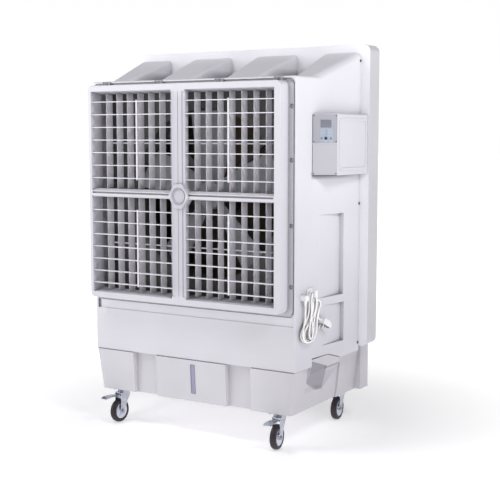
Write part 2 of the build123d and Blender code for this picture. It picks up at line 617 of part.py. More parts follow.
with BuildPart() as water_tank:
    with BuildSketch(Plane.XY.offset(TK_ZB)):
        with Locations((0, (TK_FRONT_B + TK_REAR) / 2)):
            RectangleRounded(2 * TK_BOT_HW, TK_REAR - TK_FRONT_B, 20)
    with BuildSketch(Plane.XY.offset(Z_HI)):
        with Locations((0, (tank_front(Z_HI) + TK_REAR) / 2)):
            RectangleRounded(2 * tank_hw(Z_HI), TK_REAR - tank_front(Z_HI), 20)
    loft()
    # the rear third of each side stands a little proud
    with BuildSketch(Plane.XY.offset(TK_ZB)):
        with Locations((0, (BY + 378 + TK_REAR) / 2)):
            Rectangle(2 * TK_BOT_HW + 14, TK_REAR - BY - 378)
    with BuildSketch(Plane.XY.offset(Z_HI)):
        with Locations((0, (BY + 378 + TK_REAR) / 2)):
            Rectangle(2 * tank_hw(Z_HI) + 14, TK_REAR - BY - 378)
    loft()
    # square shoulders at the two rear corners
    with Locations((0, (TK_COL_Y + TK_REAR) / 2, (150 + Z_HI) / 2)):
        Box(2 * TK_COL_HW, TK_REAR - TK_COL_Y, Z_HI - 150)
    # sloping top edge
    with BuildSketch(Plane.YZ.offset(-700)):
        with BuildLine():
            Polyline((-400, tank_top(-400)), (500, tank_top(500)), (500, 460), (-400, 460), close=True)
        make_face()
    extrude(amount=1400, mode=Mode.SUBTRACT)
    # front pockets, full height
    for sx in (-1, 1):
        with BuildSketch(Plane.XY.offset(TK_ZB - 5)):
            with BuildLine():
                Polyline((sx * 169, -300), (sx * 175, -246), (sx * 287, -246), (sx * 293, -300), close=True)
            make_face()
        extrude(amount=260, mode=Mode.SUBTRACT)
    add(spout(0.0, 356.5))
    add(tank_void.part, mode=Mode.SUBTRACT)
    add(spout(4.0, 380.0), mode=Mode.SUBTRACT)
    # hose inlet on the left side
    with BuildSketch(Plane.YZ.offset(-493)):
        with Locations((40, 296)):
            Circle(18)
    extrude(amount=7.5)
    with BuildSketch(Plane.YZ.offset(-515)):
        with Locations((40, 296)):
            Circle(10.4)
    extrude(amount=24)
    with BuildSketch(Plane.YZ.offset(-520)):
        with Locations((40, 296)):
            Circle(7.0)
    extrude(amount=50, mode=Mode.SUBTRACT)
    # shallow seat of the level gauge
    with BuildSketch(Plane.YZ.offset(GAUGE_X - 11)):
        with BuildLine():
            Polyline((tank_front(179) - 5, 179), (tank_front(179) + 2.5, 179),
                     (tank_front(302) + 2.5, 302), (tank_front(302) - 5, 302), close=True)
        make_face()
    extrude(amount=22, mode=Mode.SUBTRACT)
    # drain slots in the deck below the pad
    with Locations((0, 288, 350)):
        with GridLocations(240, 1, 4, 1):
            Box(180, 20, 30, mode=Mode.SUBTRACT)
save(water_tank, "water_tank")

with BuildPart() as level_gauge:
    with BuildSketch(Plane.YZ.offset(GAUGE_X - 10.5)):
        with BuildLine():
            Polyline((tank_front(180) - 1.5, 180), (tank_front(180) + 2.5, 180),
                     (tank_front(301) + 2.5, 301), (tank_front(301) - 1.5, 301), close=True)
        make_face()
    extrude(amount=21)
save(level_gauge, "level_gauge")

# ---------------------------------------------------------------- fan
PLATE_Y = BY + 118.0
with BuildPart() as fan_shroud:
    with BuildSketch(Plane.XZ.offset(-PLATE_Y)):
        with Locations((0, (366 + 1455) / 2)):
            Rectangle(2 * 503.2, 1455 - 366)
        with Locations((0, FAN_Z)):
            Circle(FAN_R + 6, mode=Mode.SUBTRACT)
    extrude(amount=-4)
    with BuildSketch(Plane.XZ.offset(-PLATE_Y)):
        with Locations((0, FAN_Z)):
            Circle(FAN_R + 10)
            Circle(FAN_R + 6, mode=Mode.SUBTRACT)
    extrude(amount=-112)
    # motor spider
    with BuildSketch(Plane.XZ.offset(-(BY + 212))):
        with Locations((0, FAN_Z)):
            Circle(72)
            with PolarLocations(212, 4, 45):
                Rectangle(300, 26)
            Circle(24, mode=Mode.SUBTRACT)
    extrude(amount=-14)
save(fan_shroud, "fan_shroud")

with BuildPart() as fan_motor:
    with BuildSketch(Plane.XZ.offset(-(BY + 226))):
        with Locations((0, FAN_Z)):
            Circle(78)
    extrude(amount=-120)
    fillet(fan_motor.edges().filter_by(GeomType.CIRCLE).sort_by(Axis.Y)[-1:], 10)
    with BuildSketch(Plane.XZ.offset(-(BY + 220))):
        with Locations((0, FAN_Z)):
            Circle(9.06)
    extrude(amount=-40, mode=Mode.SUBTRACT)
save(fan_motor, "fan_motor")

with BuildPart() as fan_rotor:
    with BuildSketch(Plane.XZ.offset(-(FAN_Y - 26))):
        with Locations((0, FAN_Z)):
            Circle(62)
    extrude(amount=-52)
    fillet(fan_rotor.edges().filter_by(GeomType.CIRCLE).sort_by(Axis.Y)[:1], 12)
    with BuildSketch(Plane.XZ.offset(-(FAN_Y + 20))):
        with Locations((0, FAN_Z)):
            Circle(9)
    extrude(amount=-55)
    for k in range(5):
        a = math.radians(90 + 72 * k)
        radial = Vector(math.cos(a), 0, math.sin(a))
        hub = Vector(0, FAN_Y, FAN_Z)
        for (r, chord, pitch) in ((54, 96, 42), (200, 146, 31), (FAN_R + 6, 178, 23)):
            sec = Plane(origin=hub + radial * r, x_dir=(0, 1, 0), z_dir=radial)
            with BuildSketch(sec):
                Rectangle(4.5, chord, rotation=pitch)
        loft(ruled=True)
    with BuildSketch(Plane.XZ.offset(-(FAN_Y - 60))):
        with Locations((0, FAN_Z)):
            Circle(FAN_R - 1)
    extrude(amount=-150, mode=Mode.INTERSECT)
save(fan_rotor, "fan_rotor")

# ---------------------------------------------------------------- pump and water spreader
with BuildPart() as water_pump:
    with Locations((-300, 92, TK_ZB + TK_WALL + 50)):
        Box(110, 84, 100)
    fillet(water_pump.edges().filter_by(Axis.Z), 12)
    with BuildLine() as riser:
        FilletPolyline((-300, 92, TK_ZB + TK_WALL + 95), (-300, 92, 1400), (-300, 192, 1400),
                       (-300, 192, 1551.2), (-300, 262, 1551.2), radius=30)
    with BuildSketch(Plane(origin=(-300, 92, TK_ZB + TK_WALL + 95), z_dir=(0, 0, 1))):
        Circle(10)
    sweep(path=riser.wires()[0])
    with BuildSketch(Plane.YZ.offset(-490)):
        with Locations((262, 1551.2)):
            Circle(11)
    extrude(amount=980)
save(water_pump, "water_pump")

# ---------------------------------------------------------------- control box
face_u = Vector(CB_B[0] - CB_A[0], CB_B[1] - CB_A[1], 0).normalized()
face_n = Vector(face_u.Y, -face_u.X, 0)
FACE_L = math.hypot(CB_B[0] - CB_A[0], CB_B[1] - CB_A[1])
panel_plane = Plane(origin=(CB_A[0], CB_A[1], 0), x_dir=face_u, z_dir=face_n)   # local x along the face, y up


def inset(d):
    """Plan outline of the box, d inside its outer faces and open to the wall."""
    ax, ay = CB_A[0] - face_n.X * d, CB_A[1] - face_n.Y * d
    xr = CB_B[0] - d
    k = face_u.Y / face_u.X
    return [(480, ay + (480 - ax) * k), (xr, ay + (xr - ax) * k), (xr, BY + 425 - d), (480, BY + 425 - d)]


with BuildPart() as control_box:
    with BuildSketch(Plane.XY.offset(CB_Z0)):
        with BuildLine():
            Polyline(CB_A, CB_B, (CB_B[0], BY + 425), (side_x(BY + 425) + 0.15, BY + 425),
                     (side_x(CB_A[1]) + 0.15, CB_A[1] + 0.1), close=True)
        make_face()
    extrude(amount=CB_Z1 - CB_Z0)
    fillet([e for e in control_box.edges().filter_by(Axis.Z) if e.center().X > CB_B[0] - 1], 6)
    fillet([e for e in control_box.edges() if abs(e.center().Z - CB_Z1) < 0.1 and e.center().X > 545
            and e.center().Y > CB_B[1] + 3], 4)
    with BuildSketch(Plane.XY.offset(CB_Z0 + 3)):
        with BuildLine():
            Polyline(*inset(3.0), close=True)
        make_face()
    extrude(amount=CB_Z1 - CB_Z0 - 6, mode=Mode.SUBTRACT)
    # moulded border on the outer side
    with BuildSketch(Plane.YZ.offset(CB_B[0] - 0.5)):
        with Locations((BY + 290, (CB_Z0 + CB_Z1) / 2)):
            RectangleRounded(244, 204, 20)
            RectangleRounded(222, 182, 14, mode=Mode.SUBTRACT)
    extrude(amount=2.2)
    # joint line across the display face
    with BuildSketch(panel_plane.offset(-1.2)):
        with Locations((FACE_L / 2, 1203.0)):
            Rectangle(FACE_L - 8, 1.8)
    extrude(amount=6, mode=Mode.SUBTRACT)
    # button bore
    with BuildSketch(panel_plane.offset(-8)):
        with Locations((BUTTON_S, BUTTON_Z)):
            Circle(6.15)
    extrude(amount=16, mode=Mode.SUBTRACT)
save(control_box, "control_box")

with BuildPart() as display_panel:
    # overlay plate on the upper half of the face, then the display window and the key field on it
    with BuildSketch(panel_plane):
        with Locations((FACE_L / 2, 1260.5)):
            RectangleRounded(FACE_L - 4, 108, 2.5)
        with Locations((BUTTON_S, BUTTON_Z)):
            Circle(6.15, mode=Mode.SUBTRACT)
    extrude(amount=0.8)
    with BuildSketch(panel_plane):
        with Locations((52.7, 1279.8)):
            RectangleRounded(45, 33, 2)
    extrude(amount=2.0)
    with BuildSketch(panel_plane):
        with Locations((55.2, 1232.7)):
            RectangleRounded(51, 58, 2)
        with Locations((BUTTON_S, BUTTON_Z)):
            Circle(6.15, mode=Mode.SUBTRACT)
    extrude(amount=1.2)
save(display_panel, "display_panel")

with BuildPart() as power_button:
    with BuildSketch(panel_plane.offset(-6)):
        with Locations((BUTTON_S, BUTTON_Z)):
            Circle(6.0)
    extrude(amount=8.6)
    fillet(power_button.edges().filter_by(GeomType.CIRCLE).sort_by(Axis.Y)[:1], 0.8)
    with BuildSketch(panel_plane.offset(-5.4)):
        with Locations((BUTTON_S, BUTTON_Z)):
            Circle(8.5)
    extrude(amount=2.0)
save(power_button, "power_button")

# ---------------------------------------------------------------- cord hook and outlet
with BuildPart() as cord_fittings:
    with BuildSketch(wall_plane.offset(0.1)):
        with Locations((89, 622)):
            RectangleRounded(34, 44, 5)
    extrude(amount=3)
    with BuildSketch(wall_plane.offset(3)):
        with Locations((89, 618)):
            RectangleRounded(17, 12, 3)
    extrude(amount=32)
    with BuildSketch(wall_plane.offset(29.5)):
        with Locations((89, 625)):
            RectangleRounded(17, 26, 5)
    extrude(amount=6)
    # outlet: a spigot through the wall and an elbow pointing down
    with BuildSketch(wall_plane.offset(-8)):
        with Locations((GLAND_T, GLAND_Z)):
            Circle(8.0)
    extrude(amount=12)
    with BuildSketch(wall_plane.offset(0.1)):
        with Locations((GLAND_T, GLAND_Z)):
            RectangleRounded(24, 22, 6)
    extrude(amount=25)
    with BuildSketch(Plane(origin=wall_plane.from_local_coords((GLAND_T, 598.0, CORD_OFF)), x_dir=wall_t, z_dir=(0, 0, 1))):
        Circle(6.2)
    extrude(amount=6)
save(cord_fittings, "cord_fittings")


# ---------------------------------------------------------------- supply cord
def on_wall(t, z, off=CORD_OFF):
    """World point from a distance along the wall, a height and a stand-off."""
    return wall_plane.from_local_coords((t, z, off))


HANK = [(66, 600), (68, 624), (75, 633), (101, 633), (109, 626), (136, 592), (136, 580),
        (122.30, 534.90), (113.70, 519.10), (109, 500), (108, 470), (98, 444), (78, 433), (52, 433),
        (30, 446), (16, 470), (14, 490), (30, 518), (34, 530), (52, 530), (60, 545)]
TUBE_1 = [(GLAND_T, 598.0), (GLAND_T, 530.0)]                 # outlet to coil
TUBE_2 = [(118.05, 526.97), (136.05, 517.17)]                 # coil to plug

with BuildPart() as cord_hank:
    with BuildSketch(wall_plane.offset(CORD_OFF - 11)):
        with BuildLine():
            Polyline(*HANK, close=True)
        make_face()
        with Locations((89, 618)):
            RectangleRounded(17.8, 12.8, 3.2, mode=Mode.SUBTRACT)
    extrude(amount=22)
save(cord_hank, "cord_hank")

with BuildPart() as power_cord:
    for run in (TUBE_1, TUBE_2):
        a, b = on_wall(*run[0]), on_wall(*run[1])
        with BuildSketch(Plane(origin=a, z_dir=(b - a).normalized())):
            Circle(CORD_D / 2)
        extrude(amount=(b - a).length)
save(power_cord, "power_cord")

# Plug: flat body with the cord entering at one end and three pins at right angles.
plug_u = (on_wall(*TUBE_2[1]) - on_wall(*TUBE_2[0])).normalized()
plug_down = wall_n.cross(plug_u)
if plug_down.Z > 0:
    plug_down = plug_down * -1
plug_plane = Plane(origin=on_wall(*TUBE_2[1]), x_dir=plug_u, z_dir=wall_n)
with BuildPart() as cord_plug:
    with BuildSketch(plug_plane.offset(-13)):
        with BuildLine():
            Polyline((10, 11), (46, 13), (64, 4), (66, -12), (10, -12), close=True)
        make_face()
    extrude(amount=30)
    fillet(cord_plug.edges().filter_by(lambda e: abs(e.tangent_at(0.5).dot(wall_n)) > 0.99), 4)
    with BuildSketch(Plane(origin=on_wall(*TUBE_2[1]), z_dir=plug_u)):
        Circle(5.2)
    with BuildSketch(Plane(origin=on_wall(*TUBE_2[1]), z_dir=plug_u).offset(11)):
        Circle(6.8)
    loft()
    for (px, pd) in ((22, -6), (22, 10), (48, 2)):
        with BuildSketch(Plane(origin=plug_plane.from_local_coords((px, -11, pd)), x_dir=plug_u, z_dir=plug_plane.y_dir * -1)):
            Rectangle(6.4, 1.7)
        extrude(amount=20)
save(cord_plug, "cord_plug")
print("cord tube runs", [round((on_wall(*r[1]) - on_wall(*r[0])).length, 1) for r in (TUBE_1, TUBE_2)],
      "straight, no bends; volume", round(power_cord.part.volume), "mm3, section x length",
      round(math.pi * (CORD_D / 2) ** 2 * sum((on_wall(*r[1]) - on_wall(*r[0])).length for r in (TUBE_1, TUBE_2))))

# ---------------------------------------------------------------- casters
CASTERS = {"front_left": (-CASTER_X, CASTER_YF), "front_right": (CASTER_X, CASTER_YF),
           "rear_left": (-CASTER_X, CASTER_YR), "rear_right": (CASTER_X, CASTER_YR)}
KING_R = 6.0
AXLE_R = 4.0

with BuildPart() as caster_plates:
    for key, (x, y) in CASTERS.items():
        with Locations((x, y, TK_ZB - PLATE_T / 2)):
            Box(72, 72 if "front" in key else 60, PLATE_T)
        with Locations((x, y, TK_ZB - PLATE_T - 2.25)):
            Cylinder(22, 4.5)
        with Locations((x, y, TK_ZB - PLATE_T - 1)):
            Cylinder(KING_R + 0.06, 7.4, mode=Mode.SUBTRACT)
save(caster_plates, "caster_plates")

for key, (x, y) in CASTERS.items():
    a = math.radians(SWIVEL_REST[key])
    lx = Vector(math.cos(a), math.sin(a), 0)
    ly = Vector(-math.sin(a), math.cos(a), 0)
    base = Vector(x, y, 0)
    side = Plane(origin=base, x_dir=ly, z_dir=lx)     # local x rearwards, local y up, normal sideways
    brake = "front" in key
    leg_in = WHEEL_W / 2 + 2.0
    with BuildPart() as fork:
        for s in (-1, 1):
            with BuildSketch(side.offset(leg_in if s > 0 else -leg_in - 3)):
                with Locations((-TRAIL, WHEEL_R)):
                    Circle(12)
                with Locations((-5, 122)):
                    Rectangle(58, 16)
                make_hull()
            extrude(amount=3)
        with BuildSketch(side.offset(-leg_in - 3)):
            with Locations((-5, 128.5)):
                Rectangle(58, 3)
        extrude(amount=2 * leg_in + 6)
        with BuildSketch(Plane.XY.offset(129)):
            with Locations((x, y)):
                Circle(25)
        extrude(amount=8.6)
        with BuildSketch(Plane.XY.offset(128)):
            with Locations((x, y)):
                Circle(KING_R)
        extrude(amount=16)
        with BuildSketch(side.offset(-leg_in - 5)):
            with Locations((-TRAIL, WHEEL_R)):
                Circle(AXLE_R)
        extrude(amount=2 * leg_in + 10)
        for s in (-1, 1):
            with BuildSketch(side.offset(leg_in + 3 if s > 0 else -leg_in - 7)):
                with Locations((-TRAIL, WHEEL_R)):
                    RegularPolygon(7, 6)
            extrude(amount=4)
        if brake:
            with BuildSketch(side.offset(-leg_in - 3)):
                with Locations((-28, 118)):
                    Circle(2.5)
            extrude(amount=2 * leg_in + 6)
    save(fork, f"caster_fork_{key}")

    with BuildPart() as wheel:
        with BuildSketch(side.offset(-WHEEL_W / 2)):
            with Locations((-TRAIL, WHEEL_R)):
                Circle(WHEEL_R)
        extrude(amount=WHEEL_W)
        fillet(wheel.edges().filter_by(GeomType.CIRCLE), 6)
        with BuildSketch(side.offset(-WHEEL_W / 2 - 1.2)):
            with Locations((-TRAIL, WHEEL_R)):
                Circle(13)
        extrude(amount=WHEEL_W + 2.4)
        with BuildSketch(side.offset(-WHEEL_W / 2 - 3)):
            with Locations((-TRAIL, WHEEL_R)):
                Circle(AXLE_R + 0.06)
        extrude(amount=WHEEL_W + 6, mode=Mode.SUBTRACT)
    save(wheel, f"caster_wheel_{key}")

    if brake:
        with BuildPart() as pedal:
            with BuildSketch(side.offset(-13.5)):
                with BuildLine():
                    Polyline((-23, 117), (-24, 121.5), (-44, 123), (-104, 127), (-130, 121),
                             (-130, 118), (-104, 123.5), (-44, 119), (-34, 114), (-24, 113.5), close=True)
                make_face()
            extrude(amount=27)
            with BuildSketch(side.offset(-20)):
                with BuildLine():
                    Polyline((-52, 119.6), (-52, 123.5), (-104, 127), (-130, 121), (-130, 118), (-104, 123.5), close=True)
                make_face()
            extrude(amount=40)
            with BuildSketch(side.offset(-15)):
                with Locations((-28, 118)):
                    Circle(2.56)
            extrude(amount=30, mode=Mode.SUBTRACT)
        save(pedal, f"brake_pedal_{key}")
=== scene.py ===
import bpy, bmesh, math
from mathutils import Vector, Matrix


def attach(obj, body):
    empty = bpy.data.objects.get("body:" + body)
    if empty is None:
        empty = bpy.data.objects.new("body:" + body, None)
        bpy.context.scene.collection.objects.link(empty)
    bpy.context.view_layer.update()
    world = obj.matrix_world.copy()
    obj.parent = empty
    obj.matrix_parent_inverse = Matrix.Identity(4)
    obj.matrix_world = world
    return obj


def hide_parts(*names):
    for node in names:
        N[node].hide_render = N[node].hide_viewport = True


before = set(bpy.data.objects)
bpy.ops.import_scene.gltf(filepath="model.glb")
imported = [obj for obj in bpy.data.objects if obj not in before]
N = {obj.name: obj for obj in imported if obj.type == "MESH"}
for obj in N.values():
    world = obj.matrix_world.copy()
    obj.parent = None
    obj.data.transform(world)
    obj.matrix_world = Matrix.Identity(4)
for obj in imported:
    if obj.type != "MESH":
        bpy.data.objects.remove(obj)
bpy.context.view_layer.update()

sc = bpy.context.scene
MM = 0.001

# ------------------------------------------------------------------ dimensions (mm)
BY = -268.0
W0, W1, CY = 491.0, 554.7, 160.0
FLARE = math.atan2(W1 - W0, CY - BY)
WT = Vector((math.sin(FLARE), math.cos(FLARE), 0))
WN = Vector((math.cos(FLARE), -math.sin(FLARE), 0))
H_UP = [1059.5 + 52.1 * i for i in range(7)]
H_LO = [619.0 + 51.2 * i for i in range(7)]
V_X = [58.0 + 54.6 * i for i in range(7)]
CAST = {"front_left": (-392.0, BY + 54, -3.0), "front_right": (392.0, BY + 54, 7.0),
        "rear_left": (-392.0, BY + 582, 3.0), "rear_right": (392.0, BY + 582, 4.5)}
TRAIL = 26.0


def wall(t, z, off):
    """A point from its distance along the right wall, its height and its stand-off, mm in and m out."""
    p = Vector((W0, BY, 0)) + WT * t + WN * off
    return Vector((p.x, p.y, z)) * MM


# ------------------------------------------------------------------ camera
cam_d = bpy.data.cameras.new("cam")
cam = bpy.data.objects.new("cam", cam_d)
sc.collection.objects.link(cam)
cam_d.sensor_width = 36.0
cam_d.lens = 76.06
cam.location = (2.4340, -3.7691, 1.2333)
cam.rotation_euler = (math.radians(90 - 6.17), 0, math.radians(31.51))
sc.camera = cam

sc.view_settings.view_transform = "Standard"
sc.view_settings.look = "None"
sc.view_settings.exposure = 0.0
sc.view_settings.gamma = 1.0


# ------------------------------------------------------------------ materials
def mat(name):
    m = bpy.data.materials.new(name)
    m.use_nodes = True
    nt = m.node_tree
    b = nt.nodes["Principled BSDF"]
    return m, nt, b


def link(nt, a, ai, b, bi):
    nt.links.new(a.outputs[ai], b.inputs[bi])


def coords(nt, scale=1.0):
    tc = nt.nodes.new("ShaderNodeTexCoord")
    mp = nt.nodes.new("ShaderNodeMapping")
    mp.inputs["Scale"].default_value = (scale, scale, scale)
    link(nt, tc, "Object", mp, "Vector")
    return mp


def tc_normal(nt):
    return nt.nodes.new("ShaderNodeNewGeometry")


def noise(nt, mp, scale, detail=3.0, rough=0.5):
    n = nt.nodes.new("ShaderNodeTexNoise")
    n.inputs["Scale"].default_value = scale
    n.inputs["Detail"].default_value = detail
    n.inputs["Roughness"].default_value = rough
    link(nt, mp, "Vector", n, "Vector")
    return n


def ramp(nt, src, out, p0, c0, p1, c1):
    r = nt.nodes.new("ShaderNodeValToRGB")
    r.color_ramp.elements[0].position = p0
    r.color_ramp.elements[0].color = (*c0, 1)
    r.color_ramp.elements[1].position = p1
    r.color_ramp.elements[1].color = (*c1, 1)
    link(nt, src, out, r, "Fac")
    return r


def plastic(name, col, rough=0.42, var=0.035, grain=900.0, bump=0.05, bevel=0.0, crevice_shade=0.0, deep=None, side=None):
    """Moulded plastic: slight colour drift, fine grain in the surface, painted shade towards the crevices and on the
    narrow sides.
    """
    m, nt, b = mat(name)
    mp = coords(nt)
    c = Vector(col)
    n1 = noise(nt, mp, 3.1, 4.0)
    r1 = ramp(nt, n1, "Fac", 0.30, tuple(c * (1 - var)), 0.72, tuple(min(x, 1) for x in c * (1 + var)))
    last, lo = r1, "Color"
    # painted shade: ambient occlusion darkens the colour in crevices and recesses
    for (dist, amt, p0, p1) in ([(0.03, crevice_shade, 0.35, 0.85)] if crevice_shade > 0 else []) + ([deep] if deep else []):
        ao = nt.nodes.new("ShaderNodeAmbientOcclusion")
        ao.samples = 6
        ao.inputs["Distance"].default_value = dist
        rr = ramp(nt, ao, "AO", p0, (1 - amt, 1 - amt, 1 - amt * 1.04), p1, (1, 1, 1))
        mx = nt.nodes.new("ShaderNodeMix")
        mx.data_type = "RGBA"
        mx.blend_type = "MULTIPLY"
        mx.inputs[0].default_value = 1.0
        nt.links.new(last.outputs[lo], mx.inputs[6])
        nt.links.new(rr.outputs["Color"], mx.inputs[7])
        last, lo = mx, 2
    if side:
        # painted shade: the narrow sides of the moulding, facing along X, are made greyer than its faces
        sp = nt.nodes.new("ShaderNodeSeparateXYZ")
        link(nt, tc_normal(nt), "Normal", sp, "Vector")
        ab = nt.nodes.new("ShaderNodeMath")
        ab.operation = "ABSOLUTE"
        link(nt, sp, "X", ab, 0)
        rr = ramp(nt, ab, "Value", 0.6, (1, 1, 1), 0.95, (side, side, side))
        mx = nt.nodes.new("ShaderNodeMix")
        mx.data_type = "RGBA"
        mx.blend_type = "MULTIPLY"
        mx.inputs[0].default_value = 1.0
        nt.links.new(last.outputs[lo], mx.inputs[6])
        nt.links.new(rr.outputs["Color"], mx.inputs[7])
        last, lo = mx, 2
    nt.links.new(last.outputs[lo], b.inputs["Base Color"])
    n2 = noise(nt, mp, 38.0, 3.0)
    r2 = ramp(nt, n2, "Fac", 0.3, tuple([rough - 0.05] * 3), 0.7, tuple([rough + 0.07] * 3))
    nt.links.new(r2.outputs["Color"], b.inputs["Roughness"])
    n3 = noise(nt, mp, grain, 2.0)
    bp = nt.nodes.new("ShaderNodeBump")
    bp.inputs["Strength"].default_value = bump
    bp.inputs["Distance"].default_value = 0.0006
    nt.links.new(n3.outputs["Fac"], bp.inputs["Height"])
    if bevel > 0:
        bv = nt.nodes.new("ShaderNodeBevel")
        bv.samples = 4
        bv.inputs["Radius"].default_value = bevel
        nt.links.new(bv.outputs["Normal"], bp.inputs["Normal"])
    nt.links.new(bp.outputs["Normal"], b.inputs["Normal"])
    b.inputs["Specular IOR Level"].default_value = 0.42
    return m


def metal(name, col, rough=0.35, scale=60.0, brushed=False, metallic=1.0):
    """Plated or painted steel with a cloudy finish and fine scratches."""
    m, nt, b = mat(name)
    mp = coords(nt)
    c = Vector(col)
    n1 = noise(nt, mp, scale, 4.0, 0.6)
    r1 = ramp(nt, n1, "Fac", 0.3, tuple(c * 0.78), 0.7, tuple(min(x, 1) for x in c * 1.12))
    nt.links.new(r1.outputs["Color"], b.inputs["Base Color"])
    r2 = ramp(nt, n1, "Fac", 0.25, tuple([rough - 0.09] * 3), 0.75, tuple([rough + 0.13] * 3))
    nt.links.new(r2.outputs["Color"], b.inputs["Roughness"])
    b.inputs["Metallic"].default_value = metallic
    n3 = noise(nt, mp, 700.0, 2.0)
    bp = nt.nodes.new("ShaderNodeBump")
    bp.inputs["Strength"].default_value = 0.08
    bp.inputs["Distance"].default_value = 0.0004
    nt.links.new(n3.outputs["Fac"], bp.inputs["Height"])
    nt.links.new(bp.outputs["Normal"], b.inputs["Normal"])
    return m


M = {}
# Ambient occlusion darkens these materials in crevices and recesses as painted shade; the cover's narrow sides also get
# painted shade.
M["housing"] = plastic("m_housing", (0.72, 0.71, 0.76), 0.40, bevel=0.0015, crevice_shade=0.10, deep=(0.10, 0.45, 0.25, 0.65))
M["cover"] = plastic("m_cover", (0.82, 0.81, 0.86), 0.42, bevel=0.0015, crevice_shade=0.08, side=0.66)
M["louver"] = plastic("m_louver", (0.655, 0.645, 0.695), 0.38, bevel=0.001, crevice_shade=0.12, deep=(0.04, 0.30, 0.40, 0.80))
M["blade"] = plastic("m_blade", (0.80, 0.79, 0.85), 0.36)
M["blade_v"] = plastic("m_blade_v", (0.80, 0.785, 0.82), 0.42, deep=(0.05, 0.80, 0.30, 0.85))
M["tank"] = plastic("m_tank", (0.675, 0.66, 0.705), 0.44, bevel=0.0015, crevice_shade=0.12)
M["shroud"] = plastic("m_shroud", (0.10, 0.10, 0.10), 0.6)
M["fan"] = plastic("m_fan", (0.34, 0.35, 0.36), 0.45)
M["motor"] = metal("m_motor", (0.08, 0.085, 0.09), 0.5, metallic=0.4)
M["pump"] = plastic("m_pump", (0.06, 0.06, 0.065), 0.45)
M["gauge"] = plastic("m_gauge", (0.35, 0.33, 0.46), 0.22, var=0.06)
M["control"] = plastic("m_control", (0.64, 0.63, 0.69), 0.40, bevel=0.0012, crevice_shade=0.1)
M["display"] = plastic("m_display", (0.30, 0.36, 0.42), 0.25)
M["button"] = plastic("m_button", (0.03, 0.03, 0.05), 0.3)
M["hook"] = plastic("m_hook", (0.86, 0.86, 0.88), 0.35, bevel=0.0008)
M["zinc"] = metal("m_zinc", (0.56, 0.59, 0.66), 0.28)
M["screw"] = metal("m_screw", (0.42, 0.43, 0.45), 0.35)
M["screw_dark"] = metal("m_screw_dark", (0.10, 0.10, 0.11), 0.45)
# dark colour for the painted shade around the screw heads
M["screw_seat"] = plastic("m_screw_seat", (0.20, 0.20, 0.23), 0.5)
M["rubber"] = plastic("m_rubber", (0.026, 0.018, 0.022), 0.42, var=0.3, bump=0.3)
M["cord"] = plastic("m_cord", (0.97, 0.96, 0.97), 0.32, deep=(0.02, 0.65, 0.30, 0.72))
M["plug"] = plastic("m_plug", (0.84, 0.84, 0.86), 0.35, bevel=0.001)
M["pad"] = plastic("m_pad", (0.13, 0.11, 0.075), 0.85, var=0.25, bump=0.6, grain=160)



def position_mask(nt, axis, a, b, c, d):
    """1 between b and c along an axis of the object frame, fading to 0 at a and d (mm)."""
    mp = coords(nt)
    sp = nt.nodes.new("ShaderNodeSeparateXYZ")
    link(nt, mp, "Vector", sp, "Vector")
    outs = []
    for (x0, x1) in ((a, b), (d, c)):
        mr = nt.nodes.new("ShaderNodeMapRange")
        mr.inputs["From Min"].default_value = x0 * MM
        mr.inputs["From Max"].default_value = x1 * MM
        link(nt, sp, axis, mr, "Value")
        outs.append(mr)
    mu = nt.nodes.new("ShaderNodeMath")
    mu.operation = "MULTIPLY"
    link(nt, outs[0], "Result", mu, 0)
    link(nt, outs[1], "Result", mu, 1)
    return mu


def normal_mask(nt, n, lim=0.9975):
    """1 on faces that look along n."""
    geo = nt.nodes.new("ShaderNodeNewGeometry")
    dt = nt.nodes.new("ShaderNodeVectorMath")
    dt.operation = "DOT_PRODUCT"
    link(nt, geo, "True Normal", dt, 0)
    dt.inputs[1].default_value = tuple(n)
    mr = nt.nodes.new("ShaderNodeMapRange")
    mr.inputs["From Min"].default_value = lim - 0.002
    mr.inputs["From Max"].default_value = lim
    link(nt, dt, "Value", mr, "Value")
    return mr


def times(nt, outs):
    last = outs[0]
    for o in outs[1:]:
        mu = nt.nodes.new("ShaderNodeMath")
        mu.operation = "MULTIPLY"
        nt.links.new(last, mu.inputs[0])
        nt.links.new(o, mu.inputs[1])
        last = mu.outputs[0]
    return last


def shade(m, masks, col):
    """Multiply the colour of a finished material where all the masks are 1."""
    nt = m.node_tree
    b = nt.nodes["Principled BSDF"]
    src = b.inputs["Base Color"].links[0].from_socket
    fac = times(nt, masks)
    mx = nt.nodes.new("ShaderNodeMix")
    mx.data_type = "RGBA"
    mx.blend_type = "MULTIPLY"
    nt.links.new(fac, mx.inputs[0])
    nt.links.new(src, mx.inputs[6])
    mx.inputs[7].default_value = (*col, 1)
    nt.links.new(mx.outputs[2], b.inputs["Base Color"])


SPL, SPN, SPR = Vector((505, BY + 112, 345)), Vector((519, BY + 208, 311)), Vector((536, BY + 327, 308.5))
SPB, SPC = Vector((487, BY + 105, 221)), Vector((487, BY + 232, 218))


def outward(p, q, r):
    n = (q - p).cross(r - p).normalized()
    return n if n.x > 0 else -n


nt = M["tank"].node_tree
zone = [position_mask(nt, "X", 478, 484, 900, 910).outputs[0], position_mask(nt, "Y", BY + 98, BY + 101, BY + 329, BY + 332).outputs[0]]
# painted shade on the spout's three lower faces, darkest on the left face
shade(M["tank"], zone + [normal_mask(nt, outward(SPL, SPN, SPB)).outputs["Result"]], (0.50, 0.50, 0.53))
shade(M["tank"], zone + [normal_mask(nt, outward(SPN, SPR, SPC)).outputs["Result"]], (0.56, 0.55, 0.59))
shade(M["tank"], zone + [normal_mask(nt, outward(SPN, SPB, SPC)).outputs["Result"], position_mask(nt, "Z", 200, 201, 285, 311).outputs[0]], (0.80, 0.80, 0.84))
